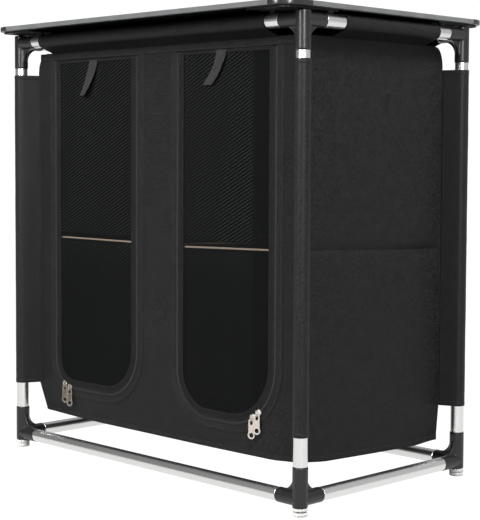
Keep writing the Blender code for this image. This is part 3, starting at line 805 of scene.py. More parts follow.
for name, (sx, sy) in CORNERS.items():
    s = lathe(Shape(), tube_profile(Z_POST_LOW + GAP, Z_POST_TOP - GAP), (sx * PX, sy * PY), "Z", 64)
    make(f"tube_post_{name}", s, ["tube"], "cabinet", [f"post_{name}"])
for level, z in (("top", Z_RAIL_TOP), ("bottom", Z_RAIL_LOW)):
    reach = PX - ARM - GAP
    for side, y in (("front", -PY), ("back", PY)):
        s = lathe(Shape(), tube_profile(-reach, reach), (y, z), "X", 64)
        make(f"tube_rail_{level}_{side}", s, ["tube"], "cabinet", [f"rail_{level}_{side}"])
    reach = PY - ARM - GAP
    for side, x in (("left", -PX), ("right", PX)):
        s = lathe(Shape(), tube_profile(-reach, reach), (x, z), "Y", 64)
        make(f"tube_rail_{level}_{side}", s, ["tube"], "cabinet", [f"rail_{level}_{side}"])

# --------------------------------------------------------------- connectors
def solid_prism(shape, outline, axis, low, high, mat=0):
    """A closed prism; outline points are (u, v) across the axis."""
    def at(a, b, t):
        return {"X": (t, a, b), "Y": (a, t, b), "Z": (a, b, t)}[axis]
    m = len(outline)
    verts = [at(a, b, low) for a, b in outline] + [at(a, b, high) for a, b in outline]
    faces = [(i, (i + 1) % m, m + (i + 1) % m, m + i) for i in range(m)]
    faces += [tuple(range(m))[::-1], tuple(range(m, 2 * m))]
    return shape.add(verts, faces, mat)


def connector(up_dir):
    """One corner joint for x > 0, y > 0, with its arm height at z = 0."""
    z_low, z_high = (-14.5, 55.0) if up_dir > 0 else (-51.5, 15.0)
    parts = []
    s = Shape()
    c = 0.9
    lathe(s, [(0, z_low), (SLEEVE_R - c, z_low), (SLEEVE_R, z_low + c), (SLEEVE_R, z_high - c), (SLEEVE_R - c, z_high), (0, z_high)], (0, 0), "Z", 56, loop=False)
    parts.append(s)
    for axis in "XY":
        s = Shape()
        lathe(s, [(0, 3.0), (ARM_R, 3.0), (ARM_R, -ARM + c), (ARM_R - c, -ARM), (0, -ARM)], (0, 0), axis, 56, loop=False)
        parts.append(s)
        far = SLEEVE_R + WEB_R
        web = [(-3.0, 0.0), (-(far + 3.5), 0.0), (-(far + 3.5), up_dir * (ARM_R - 0.9))]
        web += [(-a, up_dir * b) for a, b in arc((far + 1.0, ARM_R - 0.6 + WEB_R), WEB_R, 270, 184, 18)]
        web += [(-(SLEEVE_R - 1.0), up_dir * (ARM_R + WEB_R + 3.0)), (-3.0, up_dir * (ARM_R + WEB_R + 3.0))]
        s = Shape()
        half = WEB_T / 2 - 0.3
        if axis == "X":
            solid_prism(s, web, "Y", -half, half)
        else:
            solid_prism(s, web, "X", -half, half)
        parts.append(s)
    for s in parts:
        mesh = bpy.data.meshes.new("primitive")
        mesh.from_pydata([tuple(v) for v in s.v], [], s.f)
        work = bmesh.new()
        work.from_mesh(mesh)
        bmesh.ops.recalc_face_normals(work, faces=work.faces)
        work.to_mesh(mesh)
        work.free()
        s.mesh = mesh
    whole = bmesh.new()
    for s in parts:
        whole.from_mesh(s.mesh)
    mesh = bpy.data.meshes.new("connector_source")
    whole.to_mesh(mesh)
    whole.free()
    obj = bpy.data.objects.new("connector_source", mesh)
    scene.collection.objects.link(obj)
    mod = obj.modifiers.new("remesh", "REMESH")
    mod.mode = "VOXEL"
    mod.voxel_size = 1.0
    mod.adaptivity = 0.0
    mod = obj.modifiers.new("relax", "SMOOTH")
    mod.factor = 0.5
    mod.iterations = 6
    bpy.context.view_layer.update()
    done = obj.evaluated_get(bpy.context.evaluated_depsgraph_get()).to_mesh()
    shape = Shape()
    shape.add([tuple(v.co) for v in done.vertices], [tuple(p.vertices) for p in done.polygons])
    obj.evaluated_get(bpy.context.evaluated_depsgraph_get()).to_mesh_clear()
    bpy.data.objects.remove(obj)
    for s in parts:
        bpy.data.meshes.remove(s.mesh)
    # parting lip round the mouth of the sleeve, where the post goes in
    mouth = z_high if up_dir > 0 else z_low
    lip = [(SLEEVE_R - 1.6, mouth), (SLEEVE_R - 0.5, mouth + 0.25 * up_dir), (SLEEVE_R - 0.3, mouth - 0.3 * up_dir), (SLEEVE_R - 1.2, mouth - 0.8 * up_dir)]
    lathe(shape, lip, (0, 0), "Z", 56)
    # plugs that reach into the tubes
    for axis in "XY":
        lathe(shape, [(0, -ARM + 4), (10.9, -ARM + 4), (10.9, -ARM - 24), (10.2, -ARM - 25), (0, -ARM - 25)], (0, 0), axis, 32, loop=False)
    far = z_high + 25 if up_dir > 0 else z_low - 25
    near = z_high - 4 if up_dir > 0 else z_low + 4
    lathe(shape, [(0, near), (10.9, near), (10.9, far - up_dir), (10.2, far), (0, far)], (0, 0), "Z", 32, loop=False)
    if up_dir < 0:  # peg that centres the tabletop, on a small boss
        top = Z_CORNER_TOP - Z_RAIL_TOP
        lathe(
            shape,
            [(0, top - 2), (6.2, top - 2), (6.2, top + 0.5), (5.6, top + 0.9), (3.0, top + 1.0), (3.0, top + 4.9), (2.3, top + 5.9), (0, top + 5.9)],
            (0, 0), "Z", 32, loop=False,
        )
    return shape


for level, up_dir, z_arm in (("top", -1, Z_RAIL_TOP), ("bottom", 1, Z_RAIL_LOW)):
    pattern = connector(up_dir)
    for name, (sx, sy) in CORNERS.items():
        s = Shape().join(
            pattern,
            lambda p, sx=sx, sy=sy: (sx * (PX + p[0]), sy * (PY + p[1]), z_arm + p[2]),
            flip=sx * sy < 0,
        )
        make(f"joint_{level}_{name}", s, ["connector"], "cabinet", [f"corner_{level}_{name}"], angle=50, fix=False)

# --------------------------------------------------------------- screw feet
for name, (sx, sy) in CORNERS.items():
    pad, gap = FEET[name]
    at = (sx * PX, sy * PY)
    low, top = pad + gap, Z_CORNER_LOW - GAP
    s = Shape()
    lathe(
        s,
        [
            (4.4, low + 0.4), (4.9, low), (12.3, low), (13.0, low + 0.4), (13.2, low + 1.0), (13.2, top - 1.0),
            (13.0, top - 0.3), (12.6, top), (9.0, top), (9.0, 23.4), (8.4, 24.0), (4.4, 24.0),
        ],
        at, "Z", 56,
    )
    for i in range(28):  # shallow grip ribs round the collar
        a = 2 * math.pi * i / 28
        c, q = math.cos(a), math.sin(a)
        base = Vector((at[0] + 13.0 * c, at[1] + 13.0 * q, 0))
        if top - low > 3:
            sweep(s, [base + Vector((0, 0, low + 1.1)), base + Vector((0, 0, top - 1.2))], ring(0.42, 6), up=(c, q, 0))
    make(f"collar_{name}", s, ["foot"], "cabinet", [f"foot_collar_{name}"])

    s = Shape()
    lathe(
        s,
        [
            (0, 0.9), (9.6, 0.9), (9.9, 0), (11.9, 0), (12.7, 0.5), (13.1, 1.5), (13.2, 2.2), (13.2, pad - 1.1),
            (12.9, pad - 0.35), (12.2, pad), (3.6, pad), (3.6, 27.3), (3.0, 27.8), (0, 27.8),
        ],
        at, "Z", 56, loop=False,
    )
    groove = [(12.95, 2.5), (13.3, 2.6), (13.3, 3.1), (12.95, 3.2)]
    lathe(s, groove, at, "Z", 56)
    turns, pitch = (27.0 - pad) / 1.5, 1.5
    helix = []
    n = int(turns * 24)
    for i in range(n + 1):
        a = 2 * math.pi * i / 24
        helix.append((at[0] + 3.62 * math.cos(a), at[1] + 3.62 * math.sin(a), pad + 0.1 + pitch * i / 24))
    sweep(s, helix, [(-0.42, -0.5), (0.38, 0.0), (-0.42, 0.5)], mat=0, taper=lambda t: clamp(min(t, 1 - t) * 30 + 0.1, 0.1, 1.0))
    make(f"pad_{name}", s, ["foot"], f"foot_{name}", [f"foot_pad_{name}"])

# ----------------------------------------------------------------- tabletop
def channel(lip, grow=0.0, r=1.1):
    """Rounded section of the edge profile: (distance in from the edge, z)."""
    t = 2.4
    low, high = TAB_Z0 - grow, TAB_Z1 + grow
    outer = arc((r - grow, high - r), r, 180, 90, 5)[::1]
    outer_low = arc((r - grow, low + r), r, 270, 180, 5)
    tip_high = arc((lip - 0.5, high - 0.5), 0.5, 90, 0, 3)
    tip_low = arc((lip - 0.5, low + 0.5), 0.5, 0, -90, 3)
    return (
        tip_high
        + [(lip, BOARD_Z1 + GAP), (t, BOARD_Z1 + GAP), (t, BOARD_Z0 - GAP), (lip, BOARD_Z0 - GAP)]
        + tip_low
        + outer_low
        + outer
    )


def leg(name, way):
    """How far a corner cap reaches along the front or back edge ("X") or a short edge ("Y")."""
    if name == "front_right":
        return CORNER_LEG + (-3.0 if way == "X" else 14.0)
    return CORNER_LEG


def profile_strip(side, axis, sign, low_leg, high_leg):
    s = Shape()
    section = channel(LIP)
    m = len(section)
    count = 24
    verts, uv = [], []
    edge, end = (TY, TX) if axis == "X" else (TX, TY)
    low, high = -end + low_leg + GAP, end - high_leg - GAP
    for i in range(count + 1):
        t = low + (high - low) * i / count
        for k, (d, z) in enumerate(section):
            q = sign * (edge - d)
            verts.append((t, q, z) if axis == "X" else (q, t, z))
            uv.append((t, k * 1.0))
    faces = [
        (i * m + k, i * m + (k + 1) % m, (i + 1) * m + (k + 1) % m, (i + 1) * m + k)
        for i in range(count)
        for k in range(m)
    ]
    faces += [tuple(range(m))[::-1], tuple(count * m + k for k in range(m))]
    s.add(verts, faces, 0, uv=uv)
    make(f"profile_{side}", s, ["profile"], "tabletop", [f"table_edge_{side}"], angle=30)


for side, sign in (("front", -1), ("back", 1)):
    profile_strip(side, "X", sign, leg(f"{side}_left", "X"), leg(f"{side}_right", "X"))
for side, sign in (("left", -1), ("right", 1)):
    profile_strip(side, "Y", sign, leg(f"front_{side}", "Y"), leg(f"back_{side}", "Y"))

for name, (sx, sy) in CORNERS.items():
    s = Shape()
    section = channel(15.0, grow=0.2, r=1.6)
    stops = [((TX, TY - leg(name, "Y")), 0.0)]
    stops += [
        ((TX - TAB_R + TAB_R * math.cos(math.radians(a)), TY - TAB_R + TAB_R * math.sin(math.radians(a))), a)
        for a in [90 * i / 28 for i in range(29)]
    ]
    stops += [((TX - leg(name, "X"), TY), 90.0)]
    m = len(section)
    verts, uv, run = [], [], 0.0
    for i, ((px, py), a) in enumerate(stops):
        run += math.dist((px, py), stops[i - 1][0]) if i else 0
        ca, sa = math.cos(math.radians(a)), math.sin(math.radians(a))
        for k, (d, z) in enumerate(section):
            verts.append((sx * (px - d * ca), sy * (py - d * sa), z))
            uv.append((run, k * 1.0))
    count = len(stops)
    faces = [
        (i * m + k, i * m + (k + 1) % m, (i + 1) * m + (k + 1) % m, (i + 1) * m + k)
        for i in range(count - 1)
        for k in range(m)
    ]
    faces += [tuple(range(m))[::-1], tuple((count - 1) * m + k for k in range(m))]
    s.add(verts, faces, 0, uv=uv)
    # plate under the board with ribs, saddles over the rails and the peg socket
    plate = smooth_line([(13, 30), (17, 19), (30, 13)], 5) + smooth_line([(106, 13), (106, 68)], 2)
    plate += smooth_line([(84, 70), (52, 78), (38, 94), (31, 118), (30, 138)], 5) + [(13, 138)]
    plate = [(sx * (TX - a), sy * (TY - b)) for a, b in plate]
    solid_prism(s, plate, "Z", PLATE_Z0 + 1.1, BOARD_Z0 - GAP, mat=1)
    rim = [Vector((a, b, PLATE_Z0 + 1.0)) for a, b in plate]
    sweep(s, rim, [(-1.0, -0.9), (1.0, -0.9), (1.0, 0.9), (-1.0, 0.9)], mat=1, closed=True)
    peg = Vector((sx * PX, sy * PY, 0))
    lathe(s, [(3.6, PLATE_Z0), (6.6, PLATE_Z0), (7.0, PLATE_Z0 + 0.5), (7.0, PLATE_Z0 + 1.6), (3.6, PLATE_Z0 + 1.6)], (peg.x, peg.y), "Z", 32, mat=1)
    for angle in range(20, 360, 40):  # ribs that fan out from the socket
        a = math.radians(angle)
        d = Vector((math.cos(a), math.sin(a), 0))
        reach = 7.0
        inside = True
        while inside and reach < 80:
            reach += 1.0
            u, v = TX - abs(peg.x + d.x * reach), TY - abs(peg.y + d.y * reach)
            same = (peg.x + d.x * reach) * sx > 0 and (peg.y + d.y * reach) * sy > 0
            inside = same and u > 14 and v > 14 and (u < 105 and v < 66 or u < 30 and v < 137 or u * 0.9 + v < 128 and v < 100)
        if reach > 12:
            a0, a1 = peg + d * 6.5, peg + d * (reach - 1.5)
            z = Vector((0, 0, PLATE_Z0 + 0.75))
            sweep(s, [a0 + z, a1 + z], [(-0.6, -0.55), (0.6, -0.55), (0.7, 0.6), (-0.7, 0.6)], mat=1)
    for axis, (a0, a1) in (("X", (62, 74)), ("Y", (58, 70))):
        if axis == "X":
            saddle = [(sy * PY + q, z) for q, z in ((-4, 854), (-4, 848.4), (-3.2, 847.4), (3.2, 847.4), (4, 848.4), (4, 854))]
            solid_prism(s, saddle, "X", *sorted((sx * (PX - a0), sx * (PX - a1))), mat=1)
        else:
            saddle = [(sx * PX + q, z) for q, z in ((-4, 854), (-4, 848.4), (-3.2, 847.4), (3.2, 847.4), (4, 848.4), (4, 854))]
            solid_prism(s, saddle, "Y", *sorted((sy * (PY - a0), sy * (PY - a1))), mat=1)
    make(f"cap_{name}", s, ["cap", "plate"], "tabletop", [f"table_corner_{name}"], angle=32)


# board: laminate above, dull backing paper below, a raised field inside the lips
def rounded(hx, hy, r, n=10):
    pts = []
    for cx, cy, a in ((hx - r, hy - r, 0), (-hx + r, hy - r, 90), (-hx + r, -hy + r, 180), (hx - r, -hy + r, 270)):
        pts += arc((cx, cy), r, a, a + 90, n)
    return pts


s = Shape()
rows = [
    (rounded(TX - 3.0, TY - 3.0, TAB_R - 3.0), BOARD_Z0),
    (rounded(TX - 3.0, TY - 3.0, TAB_R - 3.0), BOARD_Z1),
    (rounded(TX - FIELD_IN, TY - FIELD_IN, TAB_R - FIELD_IN), BOARD_Z1),
    (rounded(TX - FIELD_IN - 0.35, TY - FIELD_IN - 0.35, TAB_R - FIELD_IN), BOARD_TOP - 0.05),
    (rounded(TX - FIELD_IN - 0.7, TY - FIELD_IN - 0.7, TAB_R - FIELD_IN), BOARD_TOP),
]
m = len(rows[0][0])
verts = [(a, b, z) for pts, z in rows for a, b in pts]
side_faces = [(k * m + i, k * m + (i + 1) % m, (k + 1) * m + (i + 1) % m, (k + 1) * m + i) for k in range(4) for i in range(m)]
s.add(verts, side_faces + [tuple(4 * m + i for i in range(m))], 0, uv=[(x, y) for x, y, _ in verts])
s.add(verts[:m], [tuple(range(m))[::-1]], 1, uv=[(x, y) for x, y, _ in verts[:m]])
make("board_tabletop", s, ["laminate", "backing"], "tabletop", ["table_board"], angle=20, fix=False)


# ------------------------------------------------------------- fabric box
def floor_z(y):
    return FLOOR_FRONT + (FLOOR_BACK - FLOOR_FRONT) * (y + WY) / (2 * WY)


def shelf_lean(x):
    """The loose board on the right lies a little aslant on the cloth."""
    return 0.022 * (x - 150.0) if x > -1.0 else 0.0


def shelf_z(y):
    return SHELF_FRONT - SHELF_DROP * (y + WY) / (2 * WY)


def corner_pull(x, y, z):
    """How the lower corners of the box are drawn in and lifted by their seams."""
    dx, dy = WX - abs(x), WY - abs(y)
    front = y < 0
    amount = {(True, True): (11.5, 11.5), (False, True): (3.0, 3.0), (False, False): (2.0, 3.0), (True, False): (9.0, 9.0)}[(x < 0, front)]
    t = clamp((SLEEVE_Z0 + 4.0 - z) / 60.0)
    near = (1 - ease(dx / 230.0)) * (1 - ease(dy / 230.0))
    k = t * near
    lift = (4.5 if not (x < 0 and front) else 1.0) * (1 - ease(dx / 75.0)) * (1 - ease(dy / 75.0)) * clamp((125.0 - z) / 50.0)
    return (-math.copysign(amount[0] * k, x), -math.copysign(amount[1] * k, y), lift)


def wall_depth(a, b, key):
    """Slow waves of a taut cloth wall, in millimetres, outwards positive."""
    wide = ripple(a, b, key, 210.0) * 1.3
    mid = ripple(a + 37, b * 0.8, key + 3.3, 70.0) * 0.38
    fine = ripple(a, b, key + 7.7, 24.0) * 0.10
    return wide + mid + fine


def door_edge(x, z):
    """Distance outside the nearest zip centre line (negative inside a door)."""
    best = 1e9
    for middle, bottom, rl, rr in DOORS.values():
        xl, xr = middle - ZIP_HALF, middle + ZIP_HALF
        d = max(xl - x, x - xr, bottom - z)
        if x < xl + rl and z < bottom + rl:
            d = math.dist((x, z), (xl + rl, bottom + rl)) - rl
        elif x > xr - rr and z < bottom + rr:
            d = math.dist((x, z), (xr - rr, bottom + rr)) - rr
        best = min(best, d)
    return best


def front_at(x, z, out=0.0):
    """Point of the front wall; out is how far it stands off the cloth."""
    quiet = ease((door_edge(x, z) - 6.0) / 40.0) * ease((Z_BOX_TOP - 4 - z) / 40.0)
    depth = wall_depth(x, z, 11.0) * quiet * 0.8
    edge = (1 - ease((WX - abs(x)) / 24.0))
    depth -= 0.3 * edge * ease((z - 90) / 60.0)
    y = -WY + 0.5 - depth - out
    px, py, pz = corner_pull(x, -WY, z)
    return (x + px, y + py, z + pz)


def back_at(x, z, out=0.0):
    quiet = ease((Z_BOX_TOP - 4 - z) / 40.0)
    depth = wall_depth(x, z, 29.0) * quiet
    shelf = shelf_z(WY)
    depth -= 1.5 * math.exp(-(((z - shelf + 1.5) / 3.2) ** 2)) - 0.5 * math.exp(-(((z - shelf - 9) / 9.0) ** 2))
    y = WY - 0.5 + depth + out
    px, py, pz = corner_pull(x, WY, z)
    return (x + px, y + py, z + pz)


def side_at(sign):
    def at(y, z, out=0.0):
        quiet = ease((Z_BOX_TOP - 4 - z) / 40.0)
        key = 47.0 + 13.0 * sign
        depth = wall_depth(y, z, key) * quiet
        # the shelf is sewn in here, and draws the wall into a shallow crease
        line = 446.0 - 14.0 * (y + WY) / (2 * WY) + 0.8 * ripple(y, 0, key, 60.0)
        ends = ease((WY - abs(y)) / 30.0)
        depth -= CREASE * math.exp(-abs(z - line) / (13.0 if z > line else 15.0)) * (0.15 + 0.85 * ends)
        # fine pulls that fan down from the upper corners
        for corner in (-1, 1):
            r = math.dist((y, z), (corner * WY, 780.0))
            fan = math.atan2(780.0 - z, (WY - corner * y) + 1e-6)
            depth += 0.35 * math.sin(fan * 11.0 + corner) * math.exp(-r / 85.0) * ease(r / 30.0)
        x = sign * (WX - 0.5 + depth + out)
        px, py, pz = corner_pull(sign * WX, y, z)
        return (x + px, y + py, z + pz)
    return at


def u_path(door, grow, n=24, top=HINGE_Z, step=9.0):
    middle, bottom, rl, rr = DOORS[door]
    xl, xr = middle - ZIP_HALF - grow, middle + ZIP_HALF + grow
    zb = bottom - grow
    rl, rr = rl + grow, rr + grow
    path = [(xl, top)] + arc((xl + rl, zb + rl), rl, 180, 270, n) + arc((xr - rr, zb + rr), rr, 270, 360, n) + [(xr, top)]
    out = [path[0]]
    for a, b in zip(path, path[1:]):
        cuts = max(1, round(math.dist(a, b) / step))
        out += [(a[0] + (b[0] - a[0]) * k / cuts, a[1] + (b[1] - a[1]) * k / cuts) for k in range(1, cuts + 1)]
    return out


half = WX - CLOTH - 0.4
CUT = smooth_line([(half, SLEEVE_Z1), (half - 2.5, 790), (half - 10, 803), (half - 20, 809.5), (338, Z_BOX_TOP)], 5)


def wall_outline(bottom):
    base = [(-half + 2 * half * i / 24, bottom) for i in range(25)]
    return base + CUT + [(-a, b) for a, b in CUT[::-1]]


def hem_band(shape, path, place, width, lift, mat):
    """A doubled, sewn-down edge: a band with a soft roll at each side."""
    lifts = [0.0, lift * 0.8, lift, lift, lift * 0.8, 0.0]
    spots = [0.0, 0.4, 1.2, width - 1.2, width - 0.4, width]
    def at(a, b, d):
        k = min(range(len(spots)), key=lambda i: abs(spots[i] - d))
        return place(a, b, lifts[k])
    return strip(shape, path, spots, at, mat)


# front wall
wall = Shape()
holes = []
for door in DOORS:
    hole = u_path(door, 3.6)
    rim = HINGE_Z + 0.4
    holes.append([(hole[0][0], rim)] + hole[1:-1] + [(hole[-1][0], rim)])
panel(wall, wall_outline(FLOOR_FRONT), front_at, holes, mat=0)
front_wall = make("cover_front_wall", wall, ["cloth"], "cabinet", ["cover_front"], angle=60, solid=(0.9, 0.0), fix=False)

trim = Shape()
# header band over the tops of the doors
header_low, header_high = HINGE_Z + 0.4, Z_BOX_TOP - 0.5
cuts = 90
for rows in ([(0.3, 0.0), (0.3, 0.45), (1.0, 0.95), (5.0, 0.95), (header_high - header_low, 0.75)],):
    verts, uv = [], []
    for i in range(cuts + 1):
        x = -half + 6 + (2 * half - 12) * i / cuts
        for up_by, out_by in rows:
            z = header_low - 0.2 + up_by + 0.35 * math.sin(x / 47.0) + 0.5 * ripple(x, up_by, 3.0, 60.0)
            if up_by > 6:
                z = header_high
                edge = half - abs(x)
                z = min(z, next((b for a, b in CUT[::-1] if half - a > edge), header_high) if edge < 30 else z)
                z = max(z, header_low + 1.0)
            verts.append(front_at(x, z, 0.45 + out_by))
            uv.append((x, z))
    m = len(rows)
    faces = [(i * m + k, (i + 1) * m + k, (i + 1) * m + k + 1, i * m + k + 1) for i in range(cuts) for k in range(m - 1)]
    header = Shape().add(verts, faces, 0, uv=uv)
header_piece = make("cover_front_header", header, ["cloth"], "cabinet", angle=60, solid=(0.6, 0.0), fix=False)
stitches(trim, [front_at(-half + 8 + (2 * half - 16) * i / 200, header_low + 2.2 + 0.35 * math.sin((-half + 8 + (2 * half - 16) * i / 200) / 47.0), 1.75) for i in range(201)], (0, -1, 0), 3.4, 2.5, 0.26, 0)

# rolled edge and stitching round each door opening, on the wall's side
for door in DOORS:
    edge = u_path(door, 4.2)
    sweep(trim, [front_at(a, b, 0.35) for a, b in edge], ring(0.75, 8), mat=1, up=(0, -1, 0))
    band = u_path(door, 0.0, top=HINGE_Z + 0.2)
    rises = {-5.0: 0.0, -5.6: 0.7, -6.6: 0.95, -17.4: 0.95, -18.4: 0.7, -18.9: 0.0}
    strip(trim, band, list(rises), lambda a, b, d: front_at(a, b, 0.4 + rises[d]), 2)
    for grow, size in ((8.6, 0.72), (16.2, 0.85)):
        line = u_path(door, grow, top=HINGE_Z + 0.2)
        sweep(trim, [front_at(a, b, 1.35) for a, b in line], ring(size, 8, 0.75), mat=2, up=(0, -1, 0))
    line = u_path(door, 12.4)
    stitches(trim, [front_at(a, b, 1.42) for a, b in line], (0, -1, 0), 3.1, 2.3, 0.26, 0)
# bound top corners and bottom hem
for mirror in (-1, 1):
    edge = [(mirror * (a - 0.6), b - 0.2) for a, b in CUT]
    sweep(trim, [front_at(a, b, 0.1) for a, b in edge], [(p[0] * 1.0, p[1]) for p in ring(1.05, 8)], mat=1, up=(0, -1, 0))
    line = [(mirror * (a - 3.4), b - 1.6) for a, b in CUT]
    stitches(trim, [front_at(a, b, 0.55) for a, b in line], (0, -1, 0), 3.2, 2.3, 0.22, 0)
bottom_line = [(-half + 3 + (2 * half - 6) * i / 120, FLOOR_FRONT) for i in range(121)]
hem = Shape()
hem_band(hem, bottom_line, lambda a, b, lift: front_at(a, b, 0.45 + lift), 8.5, 0.75, 0)
front_hem = make("cover_front_hem", hem, ["binding"], "cabinet", angle=60, solid=(0.5, 0.0), fix=False)
stitches(trim, [front_at(a, b + 7.3, 1.65) for a, b in bottom_line], (0, -1, 0), 3.2, 2.4, 0.26, 0)
sweep(trim, [front_at(a, b + 0.3, 0.4) for a, b in bottom_line], ring(1.3, 8), mat=1, up=(0, -1, 0))
front_trim = make("cover_front_stitching", trim, ["thread", "binding", "band"], "cabinet", angle=60)

# back wall
wall = Shape()
panel(wall, wall_outline(FLOOR_BACK), back_at, mat=0)
back_wall = make("cover_back_wall", wall, ["cloth"], "cabinet", ["cover_back"], angle=60, solid=(0.9, 0.0), fix=False)
trim = Shape()
bottom_line = [(-half + 3 + (2 * half - 6) * i / 120, FLOOR_BACK) for i in range(121)]
hem = Shape()
hem_band(hem, bottom_line, lambda a, b, lift: back_at(a, b, 0.45 + lift), 8.5, 0.75, 0)
back_hem = make("cover_back_hem", hem, ["binding"], "cabinet", angle=60, solid=(0.5, 0.0), fix=False)
stitches(trim, [back_at(a, b + 7.3, 1.65) for a, b in bottom_line], (0, 1, 0), 3.2, 2.4, 0.26, 0)
sweep(trim, [back_at(a, b + 0.3, 0.4) for a, b in bottom_line], ring(1.3, 8), mat=1, up=(0, 1, 0))
shelf_line = [(-half + 6 + (2 * half - 12) * i / 160, shelf_z(WY) - 1.5) for i in range(161)]
stitches(trim, [back_at(a, b, 0.55) for a, b in shelf_line], (0, 1, 0), 3.2, 2.4, 0.24, 0)
for mirror in (-1, 1):
    edge = [(mirror * (a - 0.6), b - 0.2) for a, b in CUT]
    sweep(trim, [back_at(a, b, 0.1) for a, b in edge], ring(1.05, 8), mat=1, up=(0, 1, 0))
    line = [(mirror * (a - 3.4), b - 1.6) for a, b in CUT]
    stitches(trim, [back_at(a, b, 0.55) for a, b in line], (0, 1, 0), 3.2, 2.3, 0.22, 0)
back_trim = make("cover_back_stitching", trim, ["thread", "binding"], "cabinet", angle=60)

# side walls
SIDE_CUT = smooth_line([(WY, SLEEVE_Z1 + 4), (WY - 2, 790), (WY - 8, 803), (WY - 18, 810), (WY - 36, Z_BOX_TOP)], 5)
for side, sign in (("left", -1), ("right", 1)):
    at = side_at(sign)
    base = [(-WY + 2 * WY * i / 16, floor_z(-WY + 2 * WY * i / 16)) for i in range(17)]
    outline = base + SIDE_CUT + [(-a, b) for a, b in SIDE_CUT[::-1]]
    wall = Shape()
    near_seam = [414.0 + 2.0 * i for i in range(34) if (414 + 2 * i) % 8]
    panel(wall, outline, at, mat=0, step=8.0, rows=near_seam)
    make(f"cover_{side}_wall", wall, ["cloth"], "cabinet", [f"cover_{side}"], angle=60, solid=(0.9, 0.0), fix=False)
    trim = Shape()
    up_out = (sign, 0, 0)
    low = [(-WY + 1 + (2 * WY - 2) * i / 70, floor_z(-WY + 1 + (2 * WY - 2) * i / 70)) for i in range(71)]
    hem = Shape()
    hem_band(hem, low, lambda a, b, lift, at=at: at(a, b, 0.45 + lift), 9.0, 0.75, 0)
    make(f"cover_{side}_hem", hem, ["binding"], "cabinet", angle=60, solid=(0.5, 0.0), fix=False)
    stitches(trim, [at(a, b + 7.6, 1.65) for a, b in low], up_out, 3.2, 2.4, 0.26, 0)
    sweep(trim, [at(a, b + 0.3, 0.4) for a, b in low], ring(1.3, 8), mat=1, up=up_out)
    key = 47.0 + 13.0 * sign
    crease = [(y, 446.0 - 14.0 * (y + WY) / (2 * WY) + 0.8 * ripple(y, 0, key, 60.0)) for y in [-WY + 8 + (2 * WY - 16) * i / 90 for i in range(91)]]
    stitches(trim, [at(a, b + 0.6, 0.62) for a, b in crease], up_out, 3.2, 2.4, 0.2, 1)
    for mirror in (-1, 1):
        edge = [(mirror * (a - 0.6), b - 0.2) for a, b in SIDE_CUT]
        sweep(trim, [at(a, b, 0.1) for a, b in edge], ring(1.05, 8), mat=1, up=up_out)
        line = [(mirror * (a - 3.4), b - 1.6) for a, b in SIDE_CUT]
        stitches(trim, [at(a, b, 0.55) for a, b in line], up_out, 3.2, 2.3, 0.22, 0)
        # seam down the box's upright edge, below the sleeve
        foot = [(mirror * (WY - 0.2), SLEEVE_Z0 + 2 - (SLEEVE_Z0 + 2 - floor_z(mirror * WY)) * i / 12) for i in range(13)]
        sweep(trim, [at(a, b, 0.2) for a, b in foot], ring(1.15, 8), mat=1, up=up_out)
        # rolled seam inside the upright corner, which closes it from floor to sleeve top
        other = back_at if mirror > 0 else front_at
        rolled = []
        for i in range(71):
            z = floor_z(mirror * WY) + 4 + (SLEEVE_Z1 - 2 - floor_z(mirror * WY) - 4) * i / 70
            a, b = at(mirror * (WY - 1.0), z, -1.6), other(sign * (half - 1.0), z, -1.6)
            rolled.append(tuple((p + q) / 2 for p, q in zip(a, b)))
        sweep(trim, rolled, ring(2.7, 10), mat=1, up=up_out)
    make(f"cover_{side}_stitching", trim, ["thread", "binding"], "cabinet", angle=60)


def sleeve_path(seam, centre, first, n=36):
    """Section of a sleeve: from its seam round the tube and back, in 2D."""
    d = Vector(centre) - Vector(seam)
    toward = math.degrees(math.atan2(-d.y, -d.x))
    spread = math.degrees(math.acos(SLEEVE_CLOTH_R / d.length))
    start = toward + first * spread
    end = start + first * (360 - 2 * spread)
    loop = arc(centre, SLEEVE_CLOTH_R, start, end, n)
    web = []
    for k in range(4):
        web.append((seam[0] + (loop[0][0] - seam[0]) * k / 4, seam[1] + (loop[0][1] - seam[1]) * k / 4))
    back = []
    for k in range(1, 5):
        f = k / 4
        back.append((loop[-1][0] + (seam[0] - loop[-1][0]) * f * 0.93, loop[-1][1] + (seam[1] - loop[-1][1]) * f * 0.93))
    return web + loop + back


def sleeve(name, section, place, low, high, key, slack=0.0, count=None):
    """A sleeve of cloth: section points carried from low to high by place(a, b, t)."""
    s = Shape()
    n = count or max(8, round((high - low) / 9.0))
    m = len(section)
    run = [0.0]
    for p, q in zip(section, section[1:]):
        run.append(run[-1] + math.dist(p, q))
    cx = sum(p[0] for p in section[4:-4]) / (m - 8)
    cy = sum(p[1] for p in section[4:-4]) / (m - 8)
    verts, uv = [], []
    for i in range(n + 1):
        t = low + (high - low) * i / n
        ends = ease(min(t - low, high - t) / 30.0)
        for k, (a, b) in enumerate(section):
            on_loop = 4 <= k < m - 4
            d = Vector((a - cx, b - cy))
            d.normalize()
            w = 0.28 * ripple(a * 2, b * 2, t * 0.6 + key, 34.0) + 0.16 * ripple(a, b * 3, t + key, 15.0)
            w = (w + slack) * (0.3 + 0.7 * ends) if on_loop else 0.6 * ripple(a * 2, b * 2, t * 0.4 + key, 55.0) * ends * (0.0 if k in (0, m - 1) else 1.0)
            verts.append(place(a + d.x * w, b + d.y * w, t))
            uv.append((run[k], t))
    faces = [(i * m + k, i * m + k + 1, (i + 1) * m + k + 1, (i + 1) * m + k) for i in range(n) for k in range(m - 1)]
    s.add(verts, faces, 0, uv=uv)
    return s


